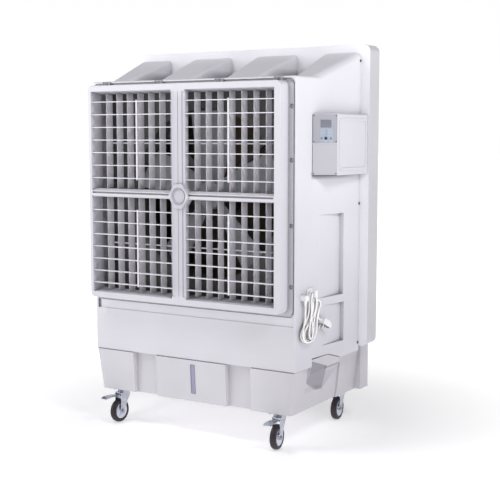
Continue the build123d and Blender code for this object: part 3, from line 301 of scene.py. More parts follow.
# painted shadow under the spout's lip and along its foot
shade(M["tank"], [zone[0], position_mask(nt, "Y", BY + 190, BY + 206, BY + 318, BY + 329).outputs[0],
                  position_mask(nt, "Z", 303, 307, 312, 315).outputs[0]], (0.55, 0.55, 0.60))
shade(M["tank"], [zone[0], position_mask(nt, "Y", BY + 99, BY + 103, BY + 180, BY + 232).outputs[0],
                  position_mask(nt, "Z", 205, 220, 226, 245).outputs[0]], (0.62, 0.60, 0.66))
nt_gauge = M["gauge"].node_tree
# the louver frame's flange lies in the shade of the raised frame
nt = M["louver"].node_tree
fl = position_mask(nt, "Y", BY - 11, BY - 7, BY + 8, BY + 12).outputs[0]
shade(M["louver"], [fl, position_mask(nt, "X", 438, 452, 600, 601).outputs[0]], (0.80, 0.80, 0.83))
shade(M["louver"], [fl, position_mask(nt, "Z", 1428, 1436, 1600, 1601).outputs[0]], (0.66, 0.66, 0.69))
nt = M["housing"].node_tree
# painted shadow in the roof channels: walls and floors darkened towards the back and the bottom
wall_side = normal_mask(nt, (1, 0, 0), 0.75)
shade(M["housing"], [wall_side.outputs["Result"], position_mask(nt, "X", -480, -475, 415, 430).outputs[0],
                     position_mask(nt, "Z", 1440, 1441, 1462, 1512).outputs[0], position_mask(nt, "Y", BY + 200, BY + 330, 900, 910).outputs[0]], (0.10, 0.10, 0.10))
shade(M["housing"], [position_mask(nt, "X", -430, -425, 415, 430).outputs[0], position_mask(nt, "Z", 1440, 1441, 1462, 1475).outputs[0], normal_mask(nt, (0, 0, 1), 0.97).outputs["Result"],
                     position_mask(nt, "Y", BY + 150, BY + 350, 900, 910).outputs[0]], (0.30, 0.30, 0.30))
# painted shade: the lower part of the front and side walls is made a little greyer
shade(M["housing"], [position_mask(nt, "X", 60, 470, 484, 490).outputs[0], position_mask(nt, "Z", 300, 301, 490, 520).outputs[0]], (0.92, 0.91, 0.91))
shade(M["housing"], [position_mask(nt, "X", 484, 492, 900, 901).outputs[0], position_mask(nt, "Z", 290, 300, 380, 1100).outputs[0]], (0.86, 0.86, 0.87))
nt = M["tank"].node_tree
# painted shade: the tank's right side is made a little greyer
shade(M["tank"], [position_mask(nt, "X", 300, 500, 900, 901).outputs[0]], (0.86, 0.855, 0.86))
nt = M["louver"].node_tree
# painted shade on the mullion between the windows
shade(M["louver"], [position_mask(nt, "X", -44, -38, 30, 36).outputs[0], position_mask(nt, "Y", -400, -399, BY - 30, BY - 10).outputs[0],
                     position_mask(nt, "Z", 585, 625, 1380, 1425).outputs[0]], (0.85, 0.85, 0.87))
# painted shade along the left edge of the level gauge
shade(M["gauge"], [position_mask(nt_gauge, "X", -2, -1, 6.0, 8.5).outputs[0]], (0.60, 0.58, 0.68))
nt = M["housing"].node_tree
# shaded strip of wall below the control box
shade(M["housing"], [position_mask(nt, "Z", 1062, 1080, 1090, 1095).outputs[0], position_mask(nt, "X", 495, 498, 900, 910).outputs[0],
                     position_mask(nt, "Y", BY + 92, BY + 104, BY + 300, BY + 420).outputs[0]], (0.25, 0.25, 0.27))

ASSIGN = {"cabinet": "housing", "louver_frame": "louver", "rear_cover": "cover", "cooling_pad": "pad",
          "water_tank": "tank", "level_gauge": "gauge", "fan_shroud": "shroud", "fan_motor": "motor",
          "water_pump": "pump", "control_box": "control", "display_panel": "display",
          "cord_fittings": "hook", "caster_plates": "zinc", "frame_screws": "screw",
          "power_cord": "cord", "cord_hank": "cord", "cord_plug": "plug", "fan_rotor": "fan",
          "power_button": "button"}
for n, o in N.items():
    key = ASSIGN.get(n)
    if key is None:
        if n.startswith("blade_row") or n.startswith("tie_rods"):
            key = "blade"
        elif n.startswith("blade_col"):
            key = "blade_v"
        elif n.startswith("caster_wheel"):
            key = "rubber"
        else:
            key = "zinc"
    o.data.materials.clear()
    o.data.materials.append(M[key])


# ------------------------------------------------------------------ supply cord
# Distances along the wall, heights and stand-offs in mm: from the outlet down into the
# coil that hangs on the hook, four turns with their lobes below and beside the hook, and
# out to the plug.
CORD_D = 7.0
ROUTE = [
    (43, 598, 17), (43, 575, 17), (43, 552, 17), (43, 530, 17),
    # first turn: widest lower lobe, then the right-hand upper lobe
    (34, 512, 19), (22, 490, 22), (18, 468, 24), (26, 449, 24), (44, 438, 24), (66, 438, 24), (88, 446, 24), (102, 466, 24),
    (108, 492, 24), (108, 518, 24), (112, 542, 24), (124, 561, 23), (133, 575, 22), (132, 590, 21), (121, 597, 20), (110, 591, 20), (106, 577, 20.5),
    (103, 561, 21), (93, 541, 21), (78, 520, 18),
    # second turn
    (56, 500, 17), (36, 482, 17), (30, 464, 17), (36, 448, 17), (56, 442, 17), (76, 444, 17), (90, 457, 16), (97, 478, 15),
    (99, 502, 14), (103, 526, 13), (110, 549, 13), (118, 567, 13), (122, 582, 13), (118, 597, 13), (108, 600, 13), (99, 593, 13), (95, 576, 13),
    (90, 553, 13), (80, 533, 13), (68, 514, 12),
    # third turn, over the hook
    (52, 494, 11), (44, 474, 11), (46, 456, 11), (58, 446, 10), (74, 448, 10), (84, 462, 10), (88, 484, 10),
    (91, 508, 20), (97, 532, 21), (103, 556, 22), (105, 582, 24), (105, 606, 24), (102, 624, 24), (89, 630, 24), (77, 624, 24),
    (73, 606, 24), (73, 582, 24), (73, 558, 24), (70, 534, 25), (63, 510, 25),
    # fourth turn, narrow and in front
    (58, 486, 25), (56, 466, 25), (62, 451, 25), (74, 449, 24), (81, 464, 24), (82, 486, 23), (82, 510, 19), (87, 534, 15), (95, 558, 14),
    (101, 582, 13), (102, 606, 12), (99, 624, 12), (89, 629, 12), (79, 624, 12), (76, 606, 12), (74, 582, 13), (72, 558, 13),
    (66, 536, 12), (56, 514, 10),
    # last lobe, up and over to the plug
    (38, 496, 10), (24, 476, 10), (24, 456, 10), (38, 442, 11), (60, 437, 11), (82, 441, 10), (98, 455, 9), (104, 476, 9),
    (106, 500, 9), (106, 522, 9), (107, 544, 9), (111, 564, 8), (116, 584, 9), (125, 594, 12), (135, 589, 15), (137, 573, 16),
    (133, 556, 16), (127, 541, 16), (124, 530, 16.5), (128, 521.6, 17), (136.05, 517.17, 17),
]


def nurbs(name, pts, dia, material, sides=6):
    cd = bpy.data.curves.new(name, "CURVE")
    cd.dimensions = "3D"
    cd.bevel_depth = dia / 2
    cd.bevel_resolution = sides
    cd.resolution_u = 8
    sp = cd.splines.new("NURBS")
    sp.points.add(len(pts) - 1)
    for q, p in zip(sp.points, pts):
        q.co = (p[0], p[1], p[2], 1)
    sp.order_u = 3
    sp.use_endpoint_u = True
    cd.use_fill_caps = True
    o = bpy.data.objects.new(name, cd)
    sc.collection.objects.link(o)
    cd.materials.append(material)
    return o


def spline_points(obj):
    """The points of a curve's own smooth line."""
    d = obj.data.copy()
    d.bevel_depth = 0
    tmp = bpy.data.objects.new("tmp", d)
    sc.collection.objects.link(tmp)
    me = bpy.data.meshes.new_from_object(tmp)
    pts = [v.co.copy() for v in me.vertices]
    bpy.data.meshes.remove(me)
    bpy.data.objects.remove(tmp)
    return pts


def mesh_obj(name, verts, faces, material, smooth=True, angle=35):
    me = bpy.data.meshes.new(name)
    me.from_pydata([tuple(v) for v in verts], [], faces)
    me.validate()
    bm = bmesh.new()
    bm.from_mesh(me)
    bmesh.ops.recalc_face_normals(bm, faces=bm.faces)
    bm.to_mesh(me)
    bm.free()
    o = bpy.data.objects.new(name, me)
    sc.collection.objects.link(o)
    if isinstance(material, (list, tuple)):
        for x in material:
            me.materials.append(x)
    else:
        me.materials.append(material)
    if smooth:
        me.shade_smooth()
        try:
            me.set_sharp_from_angle(angle=math.radians(angle))
        except AttributeError:
            pass
    return o


def lathe(profile, origin, axis, seg=48, ref=None):
    """Vertices and faces of a profile of (distance along the axis, radius) turned about it, mm."""
    axis = Vector(axis).normalized()
    ref = Vector(ref) if ref else (Vector((0, 0, 1)) if abs(axis.z) < 0.9 else Vector((1, 0, 0)))
    u = (ref - axis * ref.dot(axis)).normalized()
    v = axis.cross(u)
    vs, fs = [], []
    for (h, r) in profile:
        for k in range(seg):
            a = 2 * math.pi * k / seg
            vs.append((Vector(origin) + axis * h + (u * math.cos(a) + v * math.sin(a)) * r) * MM)
    n = len(profile)
    for i in range(n - 1):
        for k in range(seg):
            k2 = (k + 1) % seg
            fs.append((i * seg + k, i * seg + k2, (i + 1) * seg + k2, (i + 1) * seg + k))
    if profile[0][1] > 1e-6:
        fs.append(tuple(range(seg))[::-1])
    if profile[-1][1] > 1e-6:
        fs.append(tuple((n - 1) * seg + k for k in range(seg)))
    return vs, fs


cord = nurbs("supply_cord", [wall(*p) for p in ROUTE], CORD_D * MM, M["cord"])
cpts = spline_points(cord)
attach(cord, "housing")
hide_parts("power_cord", "cord_hank")

# strain relief at the outlet: tapered, ribbed
prof = [(0.2, 0.5), (0.2, 6.1), (-2, 6.0)]
h = -3.0
r = 5.9
while h > -27:
    prof += [(h, r), (h - 1.6, r - 0.05), (h - 1.9, r - 0.85), (h - 2.7, r - 0.9)]
    h -= 3.0
    r -= 0.22
prof += [(-28, 4.2), (-28.6, 3.5)]
o0 = Vector(wall(43, 598, 17)) / MM
vs, fs = lathe(prof, o0, (0, 0, 1), 32)
relief = mesh_obj("cord_strain_relief", vs, fs, M["cord"])
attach(relief, "housing")
PU = (wall(136.05, 517.17, 17) - wall(118.05, 526.97, 17)).normalized()
PV = WN.cross(PU).normalized()
# dark colour for the painted shade on the plug's pin side
M["plug_face"] = plastic("m_plug_face", (0.13, 0.125, 0.14), 0.45)

# ------------------------------------------------------------------ detail helpers
def solid(name, outline, thick, origin, ux, uy, uz, material, bevel=0.0, segs=2, smooth=True, holes=()):
    """A plate of an outline of (a, b) in mm on the axes ux, uy, from the origin and thick along uz."""
    bm = bmesh.new()
    O, ux, uy, uz = Vector(origin), Vector(ux), Vector(uy), Vector(uz)
    vs = [bm.verts.new((O + ux * a + uy * b) * MM) for a, b in outline]
    f = bm.faces.new(vs)
    ext = bmesh.ops.extrude_face_region(bm, geom=[f])
    for v in [g for g in ext["geom"] if isinstance(g, bmesh.types.BMVert)]:
        v.co += uz * thick * MM
    bmesh.ops.recalc_face_normals(bm, faces=bm.faces)
    me = bpy.data.meshes.new(name)
    bm.to_mesh(me)
    bm.free()
    o = bpy.data.objects.new(name, me)
    sc.collection.objects.link(o)
    me.materials.append(material)
    if bevel:
        md = o.modifiers.new("bevel", "BEVEL")
        md.width = bevel * MM
        md.segments = segs
        md.limit_method = "ANGLE"
        md.angle_limit = math.radians(30)
    if smooth:
        me.shade_smooth()
        try:
            me.set_sharp_from_angle(angle=math.radians(40))
        except AttributeError:
            pass
    return o


def join(name, objs):
    """One object out of several, modifiers applied."""
    dg = bpy.context.evaluated_depsgraph_get()
    mats, verts, faces, mi, sm = [], [], [], [], []
    for o in objs:
        dg.update()
        e = o.evaluated_get(dg)
        me = bpy.data.meshes.new_from_object(e)
        base = len(verts)
        idx = []
        for m in o.data.materials:
            if m not in mats:
                mats.append(m)
            idx.append(mats.index(m))
        verts += [tuple(v.co) for v in me.vertices]
        for p in me.polygons:
            faces.append([base + i for i in p.vertices])
            mi.append(idx[p.material_index] if idx else 0)
        bpy.data.meshes.remove(me)
        bpy.data.objects.remove(o)
    me = bpy.data.meshes.new(name)
    me.from_pydata(verts, [], faces)
    for m in mats:
        me.materials.append(m)
    for p, k in zip(me.polygons, mi):
        p.material_index = k
    me.shade_smooth()
    try:
        me.set_sharp_from_angle(angle=math.radians(38))
    except AttributeError:
        pass
    o = bpy.data.objects.new(name, me)
    sc.collection.objects.link(o)
    return o


def circle_pts(cx, cy, r, n=24, a0=0.0, a1=360.0):
    return [(cx + r * math.cos(math.radians(a0 + (a1 - a0) * k / n)), cy + r * math.sin(math.radians(a0 + (a1 - a0) * k / n)))
            for k in range(n + (0 if abs(a1 - a0 - 360) < 1e-6 else 1))]


# ------------------------------------------------------------------ casters
M["hub"] = metal("m_hub", (0.66, 0.68, 0.78), 0.26, scale=90.0)
for key, (cx, cy, deg) in CAST.items():
    a = math.radians(deg)
    LX = Vector((math.cos(a), math.sin(a), 0))
    LY = Vector((-math.sin(a), math.cos(a), 0))
    LZ = Vector((0, 0, 1))
    base = Vector((cx, cy, 0))
    wc = base - LY * TRAIL + LZ * 50
    # tyre
    prof = [(-11.0, 33.5), (-12.6, 34.2), (-13.4, 36.0), (-13.5, 41.0), (-13.0, 44.2), (-11.8, 46.6), (-9.6, 48.6), (-6.0, 49.6),
            (-2.0, 49.95), (2.0, 49.95), (6.0, 49.6), (9.6, 48.6), (11.8, 46.6), (13.0, 44.2), (13.5, 41.0), (13.4, 36.0),
            (12.6, 34.2), (11.0, 33.5)]
    vs, fs = lathe(prof, wc, LX, 72)
    tyre = mesh_obj(f"tyre_{key}", vs, fs, M["rubber"])
    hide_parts(f"caster_wheel_{key}")
    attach(tyre, f"wheel_{key}")
    # hub: rim, dished web, boss with the axle hole
    prof = [(-14.6, 4.3), (-14.6, 9.5), (-14.0, 12.0), (-12.4, 13.0), (-11.9, 15.0), (-11.6, 27.0), (-12.0, 30.0), (-12.3, 30.8),
            (-12.6, 32.2), (-12.2, 34.0), (12.2, 34.0), (12.6, 32.2), (12.3, 30.8), (12.0, 30.0), (11.6, 27.0), (11.9, 15.0),
            (12.4, 13.0), (14.0, 12.0), (14.6, 9.5), (14.6, 4.3)]
    n = len(prof)
    seg = 60
    vs, fs = lathe(prof, wc, LX, seg)
    fs = fs[:-2]
    for k in range(seg):
        k2 = (k + 1) % seg
        fs.append(((n - 1) * seg + k, (n - 1) * seg + k2, k2, k))
    parts = [mesh_obj("h", vs, fs, M["hub"])]
    for s in (-1, 1):
        for q in range(5):
            ang = math.radians(72 * q + 15)
            d = LY * math.cos(ang) + LZ * math.sin(ang)
            e = LX.cross(d)
            parts.append(solid("rib", [(11.5, -1.3), (30.0, -1.6), (30.0, 1.6), (11.5, 1.3)], 1.0,
                               wc + LX * (s * 11.3), d, e, LX * s, M["hub"], 0.6))
    hub = join(f"hub_{key}", parts)
    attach(hub, f"wheel_{key}")
    # fork: two pressed legs, crown, ball race, axle bolt and nut
    leg_in = 15.5
    parts = []
    leg = ([(-26 + 12 * math.cos(math.radians(t)), 50 + 12 * math.sin(math.radians(t))) for t in range(195, 346, 15)]
           + [(8, 92), (22, 112), (24, 116), (24, 129.6), (-34, 129.6), (-34, 112), (-37.2, 60)])
    for s in (-1, 1):
        o1 = base + LX * (leg_in * s if s > 0 else -leg_in - 3)
        parts.append(solid("leg", leg, 3, o1, LY, LZ, LX, M["zinc"], 0.9))
        # pressed rib along the leg
        rib = [(-31, 60), (-21, 60), (6, 106), (6, 116), (-26, 116)]
        parts.append(solid("rib", rib, 1.2, base + LX * (s * (leg_in + 2.6)), LY, LZ, LX * s, M["zinc"], 0.9))
        # nut and washer
        vs, fs = lathe([(2.9, 0.01), (2.9, 9.0), (3.9, 9.0), (3.9, 0.01)], wc + LX * (s * leg_in), LX * s, 32)
        parts.append(mesh_obj("w", vs, fs, M["screw"]))
        hexo = [(6.6 * math.cos(math.radians(60 * k + 8)), 6.6 * math.sin(math.radians(60 * k + 8))) for k in range(6)]
        parts.append(solid("n", hexo, 3.0, wc + LX * (s * (leg_in + 3.9)), LY, LZ, LX * s, M["screw"], 0.5))
    vs, fs = lathe([(-leg_in - 4.6, 0.01), (-leg_in - 4.6, 3.4), (-leg_in - 4, 3.95), (leg_in + 4, 3.95), (leg_in + 4.6, 3.4), (leg_in + 4.6, 0.01)], wc, LX, 24)
    parts.append(mesh_obj("axle", vs, fs, M["screw"]))
    parts.append(solid("crown", [(-34, 0), (24, 0), (24, 37), (-34, 37)], 3, base - LX * 18.5 + LZ * 126.8, LY, LX, LZ, M["zinc"], 0.9))
    vs, fs = lathe([(126, 0.01), (126, 11), (128.6, 21), (130, 24.6), (132.6, 25), (134.0, 24.2), (134.4, 22.6), (135.2, 22.6), (135.6, 24.0), (137.0, 24.4), (137.5, 23.2), (137.5, 0.01)],
                   base, LZ, 48)
    parts.append(mesh_obj("race", vs, fs, M["zinc"]))
    vs, fs = lathe([(121.5, 0.01), (121.5, 5.4), (122.5, 6.6), (126.5, 6.6), (126.5, 0.01)], base, LZ, 24)
    parts.append(mesh_obj("king", vs, fs, M["screw"]))
    if "front" in key:
        vs, fs = lathe([(-19.4, 0.01), (-19.4, 3.2), (-18.4, 3.6), (-18.4, 2.4), (18.4, 2.4), (18.4, 3.6), (19.4, 3.2), (19.4, 0.01)],
                       base - LY * 28 + LZ * 118, LX, 20)
        parts.append(mesh_obj("pivot", vs, fs, M["screw"]))
    fork = join(f"fork_{key}", parts)
    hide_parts(f"caster_fork_{key}")
    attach(fork, f"caster_{key}")

for key, (cx, cy, deg) in CAST.items():
    a = math.radians(deg)
    LX = Vector((math.cos(a), math.sin(a), 0))
    LY = Vector((-math.sin(a), math.cos(a), 0))
    LZ = Vector((0, 0, 1))
    base = Vector((cx, cy, 0))
    if "front" in key:
        # brake pedal: pressed channel with a wide ribbed tread that curls up at the tip
        line = [(-24, 120.6, 13.2), (-34, 121.6, 13.2), (-44, 122.6, 13.2), (-52, 123.2, 14.5), (-60, 124.0, 18.5), (-80, 125.4, 20.0),
                (-100, 126.5, 20.0), (-112, 125.4, 19.6), (-122, 122.8, 18.0), (-129.5, 120.9, 14.0)]
        vs, fs = [], []
        cols = 9
        for (y, z, hw) in line:
            for k in range(cols):
                u = -1 + 2 * k / (cols - 1)
                drop = 0.0 if abs(u) < 0.86 else 2.6
                vs.append((base + LY * y + LX * (u * hw) + LZ * (z - drop)) * MM)
        for i in range(len(line) - 1):
            for k in range(cols - 1):
                fs.append((i * cols + k, i * cols + k + 1, (i + 1) * cols + k + 1, (i + 1) * cols + k))
        sheet = mesh_obj("sheet", vs, fs, M["zinc"])
        md = sheet.modifiers.new("t", "SOLIDIFY")
        md.thickness = 2.2 * MM
        md.offset = -1
        md = sheet.modifiers.new("b", "BEVEL")
        md.width = 0.6 * MM
        md.segments = 2
        parts = [sheet]
        for y in (-70, -79, -88, -97, -106):
            parts.append(solid("rib", [(-15, -1.2), (15, -1.2), (15, 1.2), (-15, 1.2)], 1.2,
                               base + LY * y + LZ * (124.9 if y > -100 else 125.3), LX, LY, LZ, M["zinc"], 0.5))
        for s in (-1, 1):
            parts.append(solid("ear", [(-24, 121), (-44, 122.5), (-44, 119), (-33, 113.8), (-28, 112.9), (-23.5, 114.5)], 2.0,
                               base + LX * (s * 13.0 - (2.0 if s > 0 else 0)), LY, LZ, LX, M["zinc"], 0.5))
        ped = join(f"pedal_{key}", parts)
        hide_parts(f"brake_pedal_{key}")
        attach(ped, f"pedal_{key}")
    # plate bolts
    parts = []
    ph = 72 if "front" in key else 60
    for dx in (-27, 27):
        for dy in (-ph / 2 + 9, ph / 2 - 9):
            p = Vector((cx + dx, cy + dy, 142.5))
            vs, fs = lathe([(0.2, 0.01), (0.2, 6.4), (-0.8, 6.4), (-0.8, 0.01)], p, (0, 0, 1), 24)
            parts.append(mesh_obj("w", vs, fs, M["screw"]))
            hexo = [(5.2 * math.cos(math.radians(60 * k + 10)), 5.2 * math.sin(math.radians(60 * k + 10))) for k in range(6)]
            parts.append(solid("b", hexo, -3.2, p - Vector((0, 0, 0.8)), (1, 0, 0), (0, 1, 0), (0, 0, 1), M["screw"], 0.4))
    b = join(f"plate_bolts_{key}", parts)
    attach(b, "housing")

# ------------------------------------------------------------------ screws
def pan_screw(p, axis, r, h, material):
    """A domed head with a cross recess, standing h proud of the point p; the recess is two dark bars of painted shade.
    """
    axis = Vector(axis).normalized()
    prof = [(0, 0.01), (0, r), (h * 0.35, r), (h * 0.7, r * 0.86), (h * 0.93, r * 0.55), (h, r * 0.3), (h, 0.01)]
    vs, fs = lathe(prof, p, axis, 20)
    o = mesh_obj("s", vs, fs, material)
    u = Vector((0, 0, 1)) if abs(axis.z) < 0.9 else Vector((1, 0, 0))
    u = (u - axis * u.dot(axis)).normalized()
    v = axis.cross(u)
    objs = [o]
    # painted shade: dark bars in place of the cross recess
    for (c, d) in ((u, v), (v, u)):
        objs.append(solid("x", [(-r * 0.48, -r * 0.11), (r * 0.48, -r * 0.11), (r * 0.48, r * 0.11), (-r * 0.48, r * 0.11)], 0.12,
                          Vector(p) + axis * (h * 0.97), c, d, axis, M["button"], 0, smooth=False))
    return objs


FLANGE = ([(sx * a, 1448.5) for sx in (-1, 1) for a in (147, 415)]
          + [(sx * 474, zz) for sx in (-1, 1) for zz in (657, 892, 1142, 1345)])
parts = []
for (x, z) in FLANGE:
    parts += pan_screw((x, BY - 2.4, z), (0, -1, 0), 4.6, 3.0, M["screw"])
    # painted shade: a dark disc behind each screw head
    vs, fs = lathe([(0.0, 0.01), (0.0, 7.6), (0.25, 7.4), (0.25, 0.01)], Vector((x, BY - 2.35, z)), (0, -1, 0), 24)
    parts.append(mesh_obj("seat", vs, fs, M["screw_seat"]))
o = join("flange_screws", parts)
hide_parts("frame_screws")
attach(o, "housing")
parts = []
for z in (380, 958, 1535):
    for sx in (-1, 1):
        p = wall(426, z, 0) / MM
        parts += pan_screw((sx * p.x, p.y, z), (sx * WN.x, WN.y, 0), 4.5, 2.4, M["screw_dark"])
        # painted shade: a dark disc behind each screw head
        vs, fs = lathe([(0.05, 0.01), (0.05, 6.4), (0.3, 6.2), (0.3, 0.01)], Vector((sx * p.x, p.y, z)), (sx * WN.x, WN.y, 0), 24)
        parts.append(mesh_obj("seat", vs, fs, M["screw_seat"]))
o = join("cover_screw_heads", parts)
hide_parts("frame_screws")
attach(o, "housing")

# painted shade: a dark plate on the pin side of the plug
PO = wall(136.05, 517.17, 17) / MM
pf = solid("plug_pin_side_shade", [(13, -9), (16, -11.5), (60, -11.5), (63, -9), (63, 12), (60, 15), (16, 15), (13, 12)], 0.6,
           PO - PV * 11.9, PU, WN, -PV, M["plug_face"], 0.25)
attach(pf, "housing")

# ------------------------------------------------------------------ display and keys
AX, AY = 506.6, BY + 100.0
FU = Vector((81.4, 55.0, 0)).normalized()
FACE_L = 98.24
FN = Vector((FU.y, -FU.x, 0))
FO = Vector((AX, AY, 0))
M["lcd"] = plastic("m_lcd", (0.20, 0.205, 0.25), 0.18, var=0.06)
M["bezel"] = plastic("m_bezel", (0.42, 0.43, 0.50), 0.3)
M["keyfilm"] = plastic("m_keyfilm", (0.40, 0.50, 0.57), 0.3, var=0.05)
M["keypad"] = plastic("m_keypad", (0.37, 0.41, 0.49), 0.3)
M["key"] = plastic("m_key", (0.25, 0.29, 0.36), 0.35)
M["key_dark"] = plastic("m_key_dark", (0.16, 0.18, 0.24), 0.35)
M["panel"] = plastic("m_panel", (0.38, 0.38, 0.43), 0.36, var=0.05)
# dark colour for the painted shade lines along the control box's edges
M["seal"] = plastic("m_seal", (0.07, 0.07, 0.08), 0.5)
M["door"] = plastic("m_door", (0.50, 0.49, 0.54), 0.40, var=0.03)
M["rim"] = plastic("m_rim", (0.33, 0.33, 0.39), 0.36)


def rrect(x0, y0, x1, y1, r, n=4):
    pts = []
    for (cx, cy, a0) in ((x1 - r, y1 - r, 0), (x0 + r, y1 - r, 90), (x0 + r, y0 + r, 180), (x1 - r, y0 + r, 270)):
        for k in range(n + 1):
            a = math.radians(a0 + 90 * k / n)
            pts.append((cx + r * math.cos(a), cy + r * math.sin(a)))
    return pts


parts = [solid("z", rrect(30.4, 1263.5, 75, 1296.1, 2.0), 1.0, FO + FN * 0.7, FU, (0, 0, 1), FN, M["bezel"], 0.3),
         solid("l", rrect(31.6, 1264.7, 73.8, 1294.9, 1.2), 0.3, FO + FN * 1.7, FU, (0, 0, 1), FN, M["lcd"], 0.1)]
lcd = join("lcd_window", parts)
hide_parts("display_panel")
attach(lcd, "housing")
ring = [(52.5 + 6.15 * math.cos(math.radians(t)), 1224 + 6.15 * math.sin(math.radians(t))) for t in range(0, 360, 10)]
me_parts = []


def plate_with_hole(name, outer, hole, thick, origin, ux, uy, uz, material):
    """A flat plate with a hole: both faces filled with triangles between the outline and the hole, and walls round
    both.
    """
    O, ux, uy, uz = Vector(origin), Vector(ux), Vector(uy), Vector(uz)
    bm = bmesh.new()
    def loop(pts, d):
        return [bm.verts.new((O + ux * p[0] + uy * p[1] + uz * d) * MM) for p in pts]
    rings = []
    for d in (0, thick):
        a, b = loop(outer, d), loop(hole, d)
        ea = [bm.edges.new((a[i], a[(i + 1) % len(a)])) for i in range(len(a))]
        eb = [bm.edges.new((b[i], b[(i + 1) % len(b)])) for i in range(len(b))]
        bmesh.ops.triangle_fill(bm, use_beauty=True, use_dissolve=False, edges=ea + eb)
        rings.append((a, b))
    for k in (0, 1):
        r0, r1 = rings[0][k], rings[1][k]
        for i in range(len(r0)):
            j = (i + 1) % len(r0)
            bm.faces.new((r0[i], r0[j], r1[j], r1[i]))
    bmesh.ops.recalc_face_normals(bm, faces=bm.faces)
    me = bpy.data.meshes.new(name)
    bm.to_mesh(me)
    bm.free()
    o = bpy.data.objects.new(name, me)
    sc.collection.objects.link(o)
    me.materials.append(material)
    return o


# overlay plate with a raised rim, fixed by a small screw at each corner
me_parts.append(plate_with_hole("k", rrect(2.0, 1206.5, FACE_L - 2.0, 1314.5, 2.5), ring, 0.7, FO, FU, (0, 0, 1), FN, M["panel"]))
for (a0, b0, a1, b1) in ((2.4, 1206.9, 4.2, 1314.1), (FACE_L - 4.2, 1206.9, FACE_L - 2.4, 1314.1), (4.2, 1206.9, FACE_L - 4.2, 1208.6), (4.2, 1312.4, FACE_L - 4.2, 1314.1)):
    me_parts.append(solid("rim", [(a0, b0), (a1, b0), (a1, b1), (a0, b1)], 0.5, FO + FN * 0.7, FU, (0, 0, 1), FN, M["rim"], 0.15))
# key field: pale cells behind the keys, then the keys
me_parts.append(plate_with_hole("k1", rrect(30.2, 1204.8 + 3.5, 80.4, 1261.4, 2.0), ring, 0.3, FO + FN * 0.7, FU, (0, 0, 1), FN, M["keypad"]))
for (a0, b0, a1, b1) in ((36, 1236, 45.5, 1258), (62, 1234, 74, 1258), (47, 1209, 58, 1216.5), (66, 1209.5, 77, 1216)):
    me_parts.append(solid("cell", rrect(a0, b0, a1, b1, 1.5), 0.12, FO + FN * 1.0, FU, (0, 0, 1), FN, M["keyfilm"], 0))
for (x, z) in ((41, 1251), (41, 1240), (54, 1254), (54, 1246), (54, 1238), (68, 1251), (68, 1240)):
    me_parts.append(solid("c", circle_pts(x, z, 2.7, 18), 0.3, FO + FN * 1.05, FU, (0, 0, 1), FN, M["key"], 0.1))
for (x, z) in ((36, 1224), (72, 1223.5)):
    me_parts.append(solid("c", circle_pts(x, z, 4.0, 20), 0.4, FO + FN * 1.0, FU, (0, 0, 1), FN, M["key_dark"], 0.15))
for (x, z) in ((6.0, 1310.5), (FACE_L - 6.0, 1310.5), (6.0, 1210.5), (FACE_L - 6.0, 1210.5), (6.0, 1088.5), (FACE_L - 6.0, 1088.5)):
    vs, fs = lathe([(0.05, 0.01), (0.05, 2.6), (0.9, 2.4), (1.3, 1.2), (1.3, 0.01)], FO + FU * x + Vector((0, 0, z)) + FN * (0.6 if z > 1200 else 0.0), FN, 16)
    me_parts.append(mesh_obj("ds", vs, fs, M["screw_dark"]))
kp = join("key_panel", me_parts)
# painted shade: dark strips along the left and bottom edges of the box face
door_seal = [solid("e", [(0.3, 1082.2), (1.7, 1082.2), (1.7, 1316.6), (0.3, 1316.6)], 0.35, FO, FU, (0, 0, 1), FN, M["seal"], 0),
             solid("e", [(0.3, 1081.2), (FACE_L - 0.6, 1081.2), (FACE_L - 0.6, 1083.0), (0.3, 1083.0)], 0.35, FO, FU, (0, 0, 1), FN, M["seal"], 0)]
ds = join("box_seal", door_seal)
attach(ds, "housing")
door = solid("box_door", rrect(2.2, 1083.6, FACE_L - 1.6, 1201.6, 1.6), 0.5, FO, FU, (0, 0, 1), FN, M["door"], 0.2)
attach(door, "housing")
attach(kp, "housing")

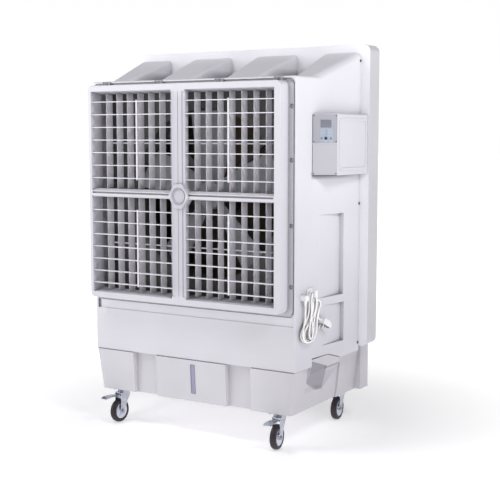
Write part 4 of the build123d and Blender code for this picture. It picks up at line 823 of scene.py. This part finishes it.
# ------------------------------------------------------------------ floor, light
fm, fnt, fb = mat("m_floor")
fb.inputs["Base Color"].default_value = (0.90, 0.90, 0.90, 1)
fb.inputs["Roughness"].default_value = 0.75
fb.inputs["Emission Color"].default_value = (1.0, 0.995, 1.0, 1)
fmp = coords(fnt)
fdist = fnt.nodes.new("ShaderNodeVectorMath")
fdist.operation = "LENGTH"
link(fnt, fmp, "Vector", fdist, 0)
fr = fnt.nodes.new("ShaderNodeMapRange")
fr.inputs["From Min"].default_value = 0.7
fr.inputs["From Max"].default_value = 2.1
fr.inputs["To Min"].default_value = 0.41
fr.inputs["To Max"].default_value = 1.02
link(fnt, fdist, "Value", fr, "Value")
link(fnt, fr, "Result", fb, "Emission Strength")
bpy.ops.mesh.primitive_plane_add(size=120, location=(0, 0, 0))
floor = bpy.context.object
floor.name = "floor"
floor.data.materials.append(fm)

# studio surroundings: white near the horizon, dim overhead
w = bpy.data.worlds.new("w")
sc.world = w
w.use_nodes = True
wn = w.node_tree
bg = wn.nodes["Background"]
tc = wn.nodes.new("ShaderNodeTexCoord")
sep = wn.nodes.new("ShaderNodeSeparateXYZ")
wn.links.new(tc.outputs["Generated"], sep.inputs["Vector"])
wr = wn.nodes.new("ShaderNodeValToRGB")
wr.color_ramp.elements[0].position = 0.0
wr.color_ramp.elements[0].color = (1.02, 1.015, 1.03, 1)
wr.color_ramp.elements[1].position = 1.0
wr.color_ramp.elements[1].color = (0.16, 0.16, 0.17, 1)
e = wr.color_ramp.elements.new(0.13)
e.color = (1.0, 0.995, 1.01, 1)
e = wr.color_ramp.elements.new(0.24)
e.color = (0.15, 0.15, 0.155, 1)
wn.links.new(sep.outputs["Z"], wr.inputs["Fac"])
wn.links.new(wr.outputs["Color"], bg.inputs["Color"])
bg.inputs["Strength"].default_value = 1.0


def area(name, loc, target, size, power, col=(1, 1, 1)):
    ld = bpy.data.lights.new(name, "AREA")
    ld.energy = power
    ld.size = size
    ld.color = col
    o = bpy.data.objects.new(name, ld)
    sc.collection.objects.link(o)
    o.location = loc
    o.rotation_euler = (Vector(target) - Vector(loc)).to_track_quat("-Z", "Y").to_euler()
    return o


area("key_right", (2.9, -0.9, 2.5), (0.5, -0.1, 1.3), 1.0, 4.5)
area("key_near", (2.15, -0.95, 2.35), (0.5, -0.2, 1.4), 0.8, 23)
area("fill_left", (-3.5, -2.5, 2.0), (-0.2, 0, 1.0), 2.0, 37)
area("fill_top", (-1.0, -1.6, 3.0), (-0.1, 0, 1.5), 1.0, 23)
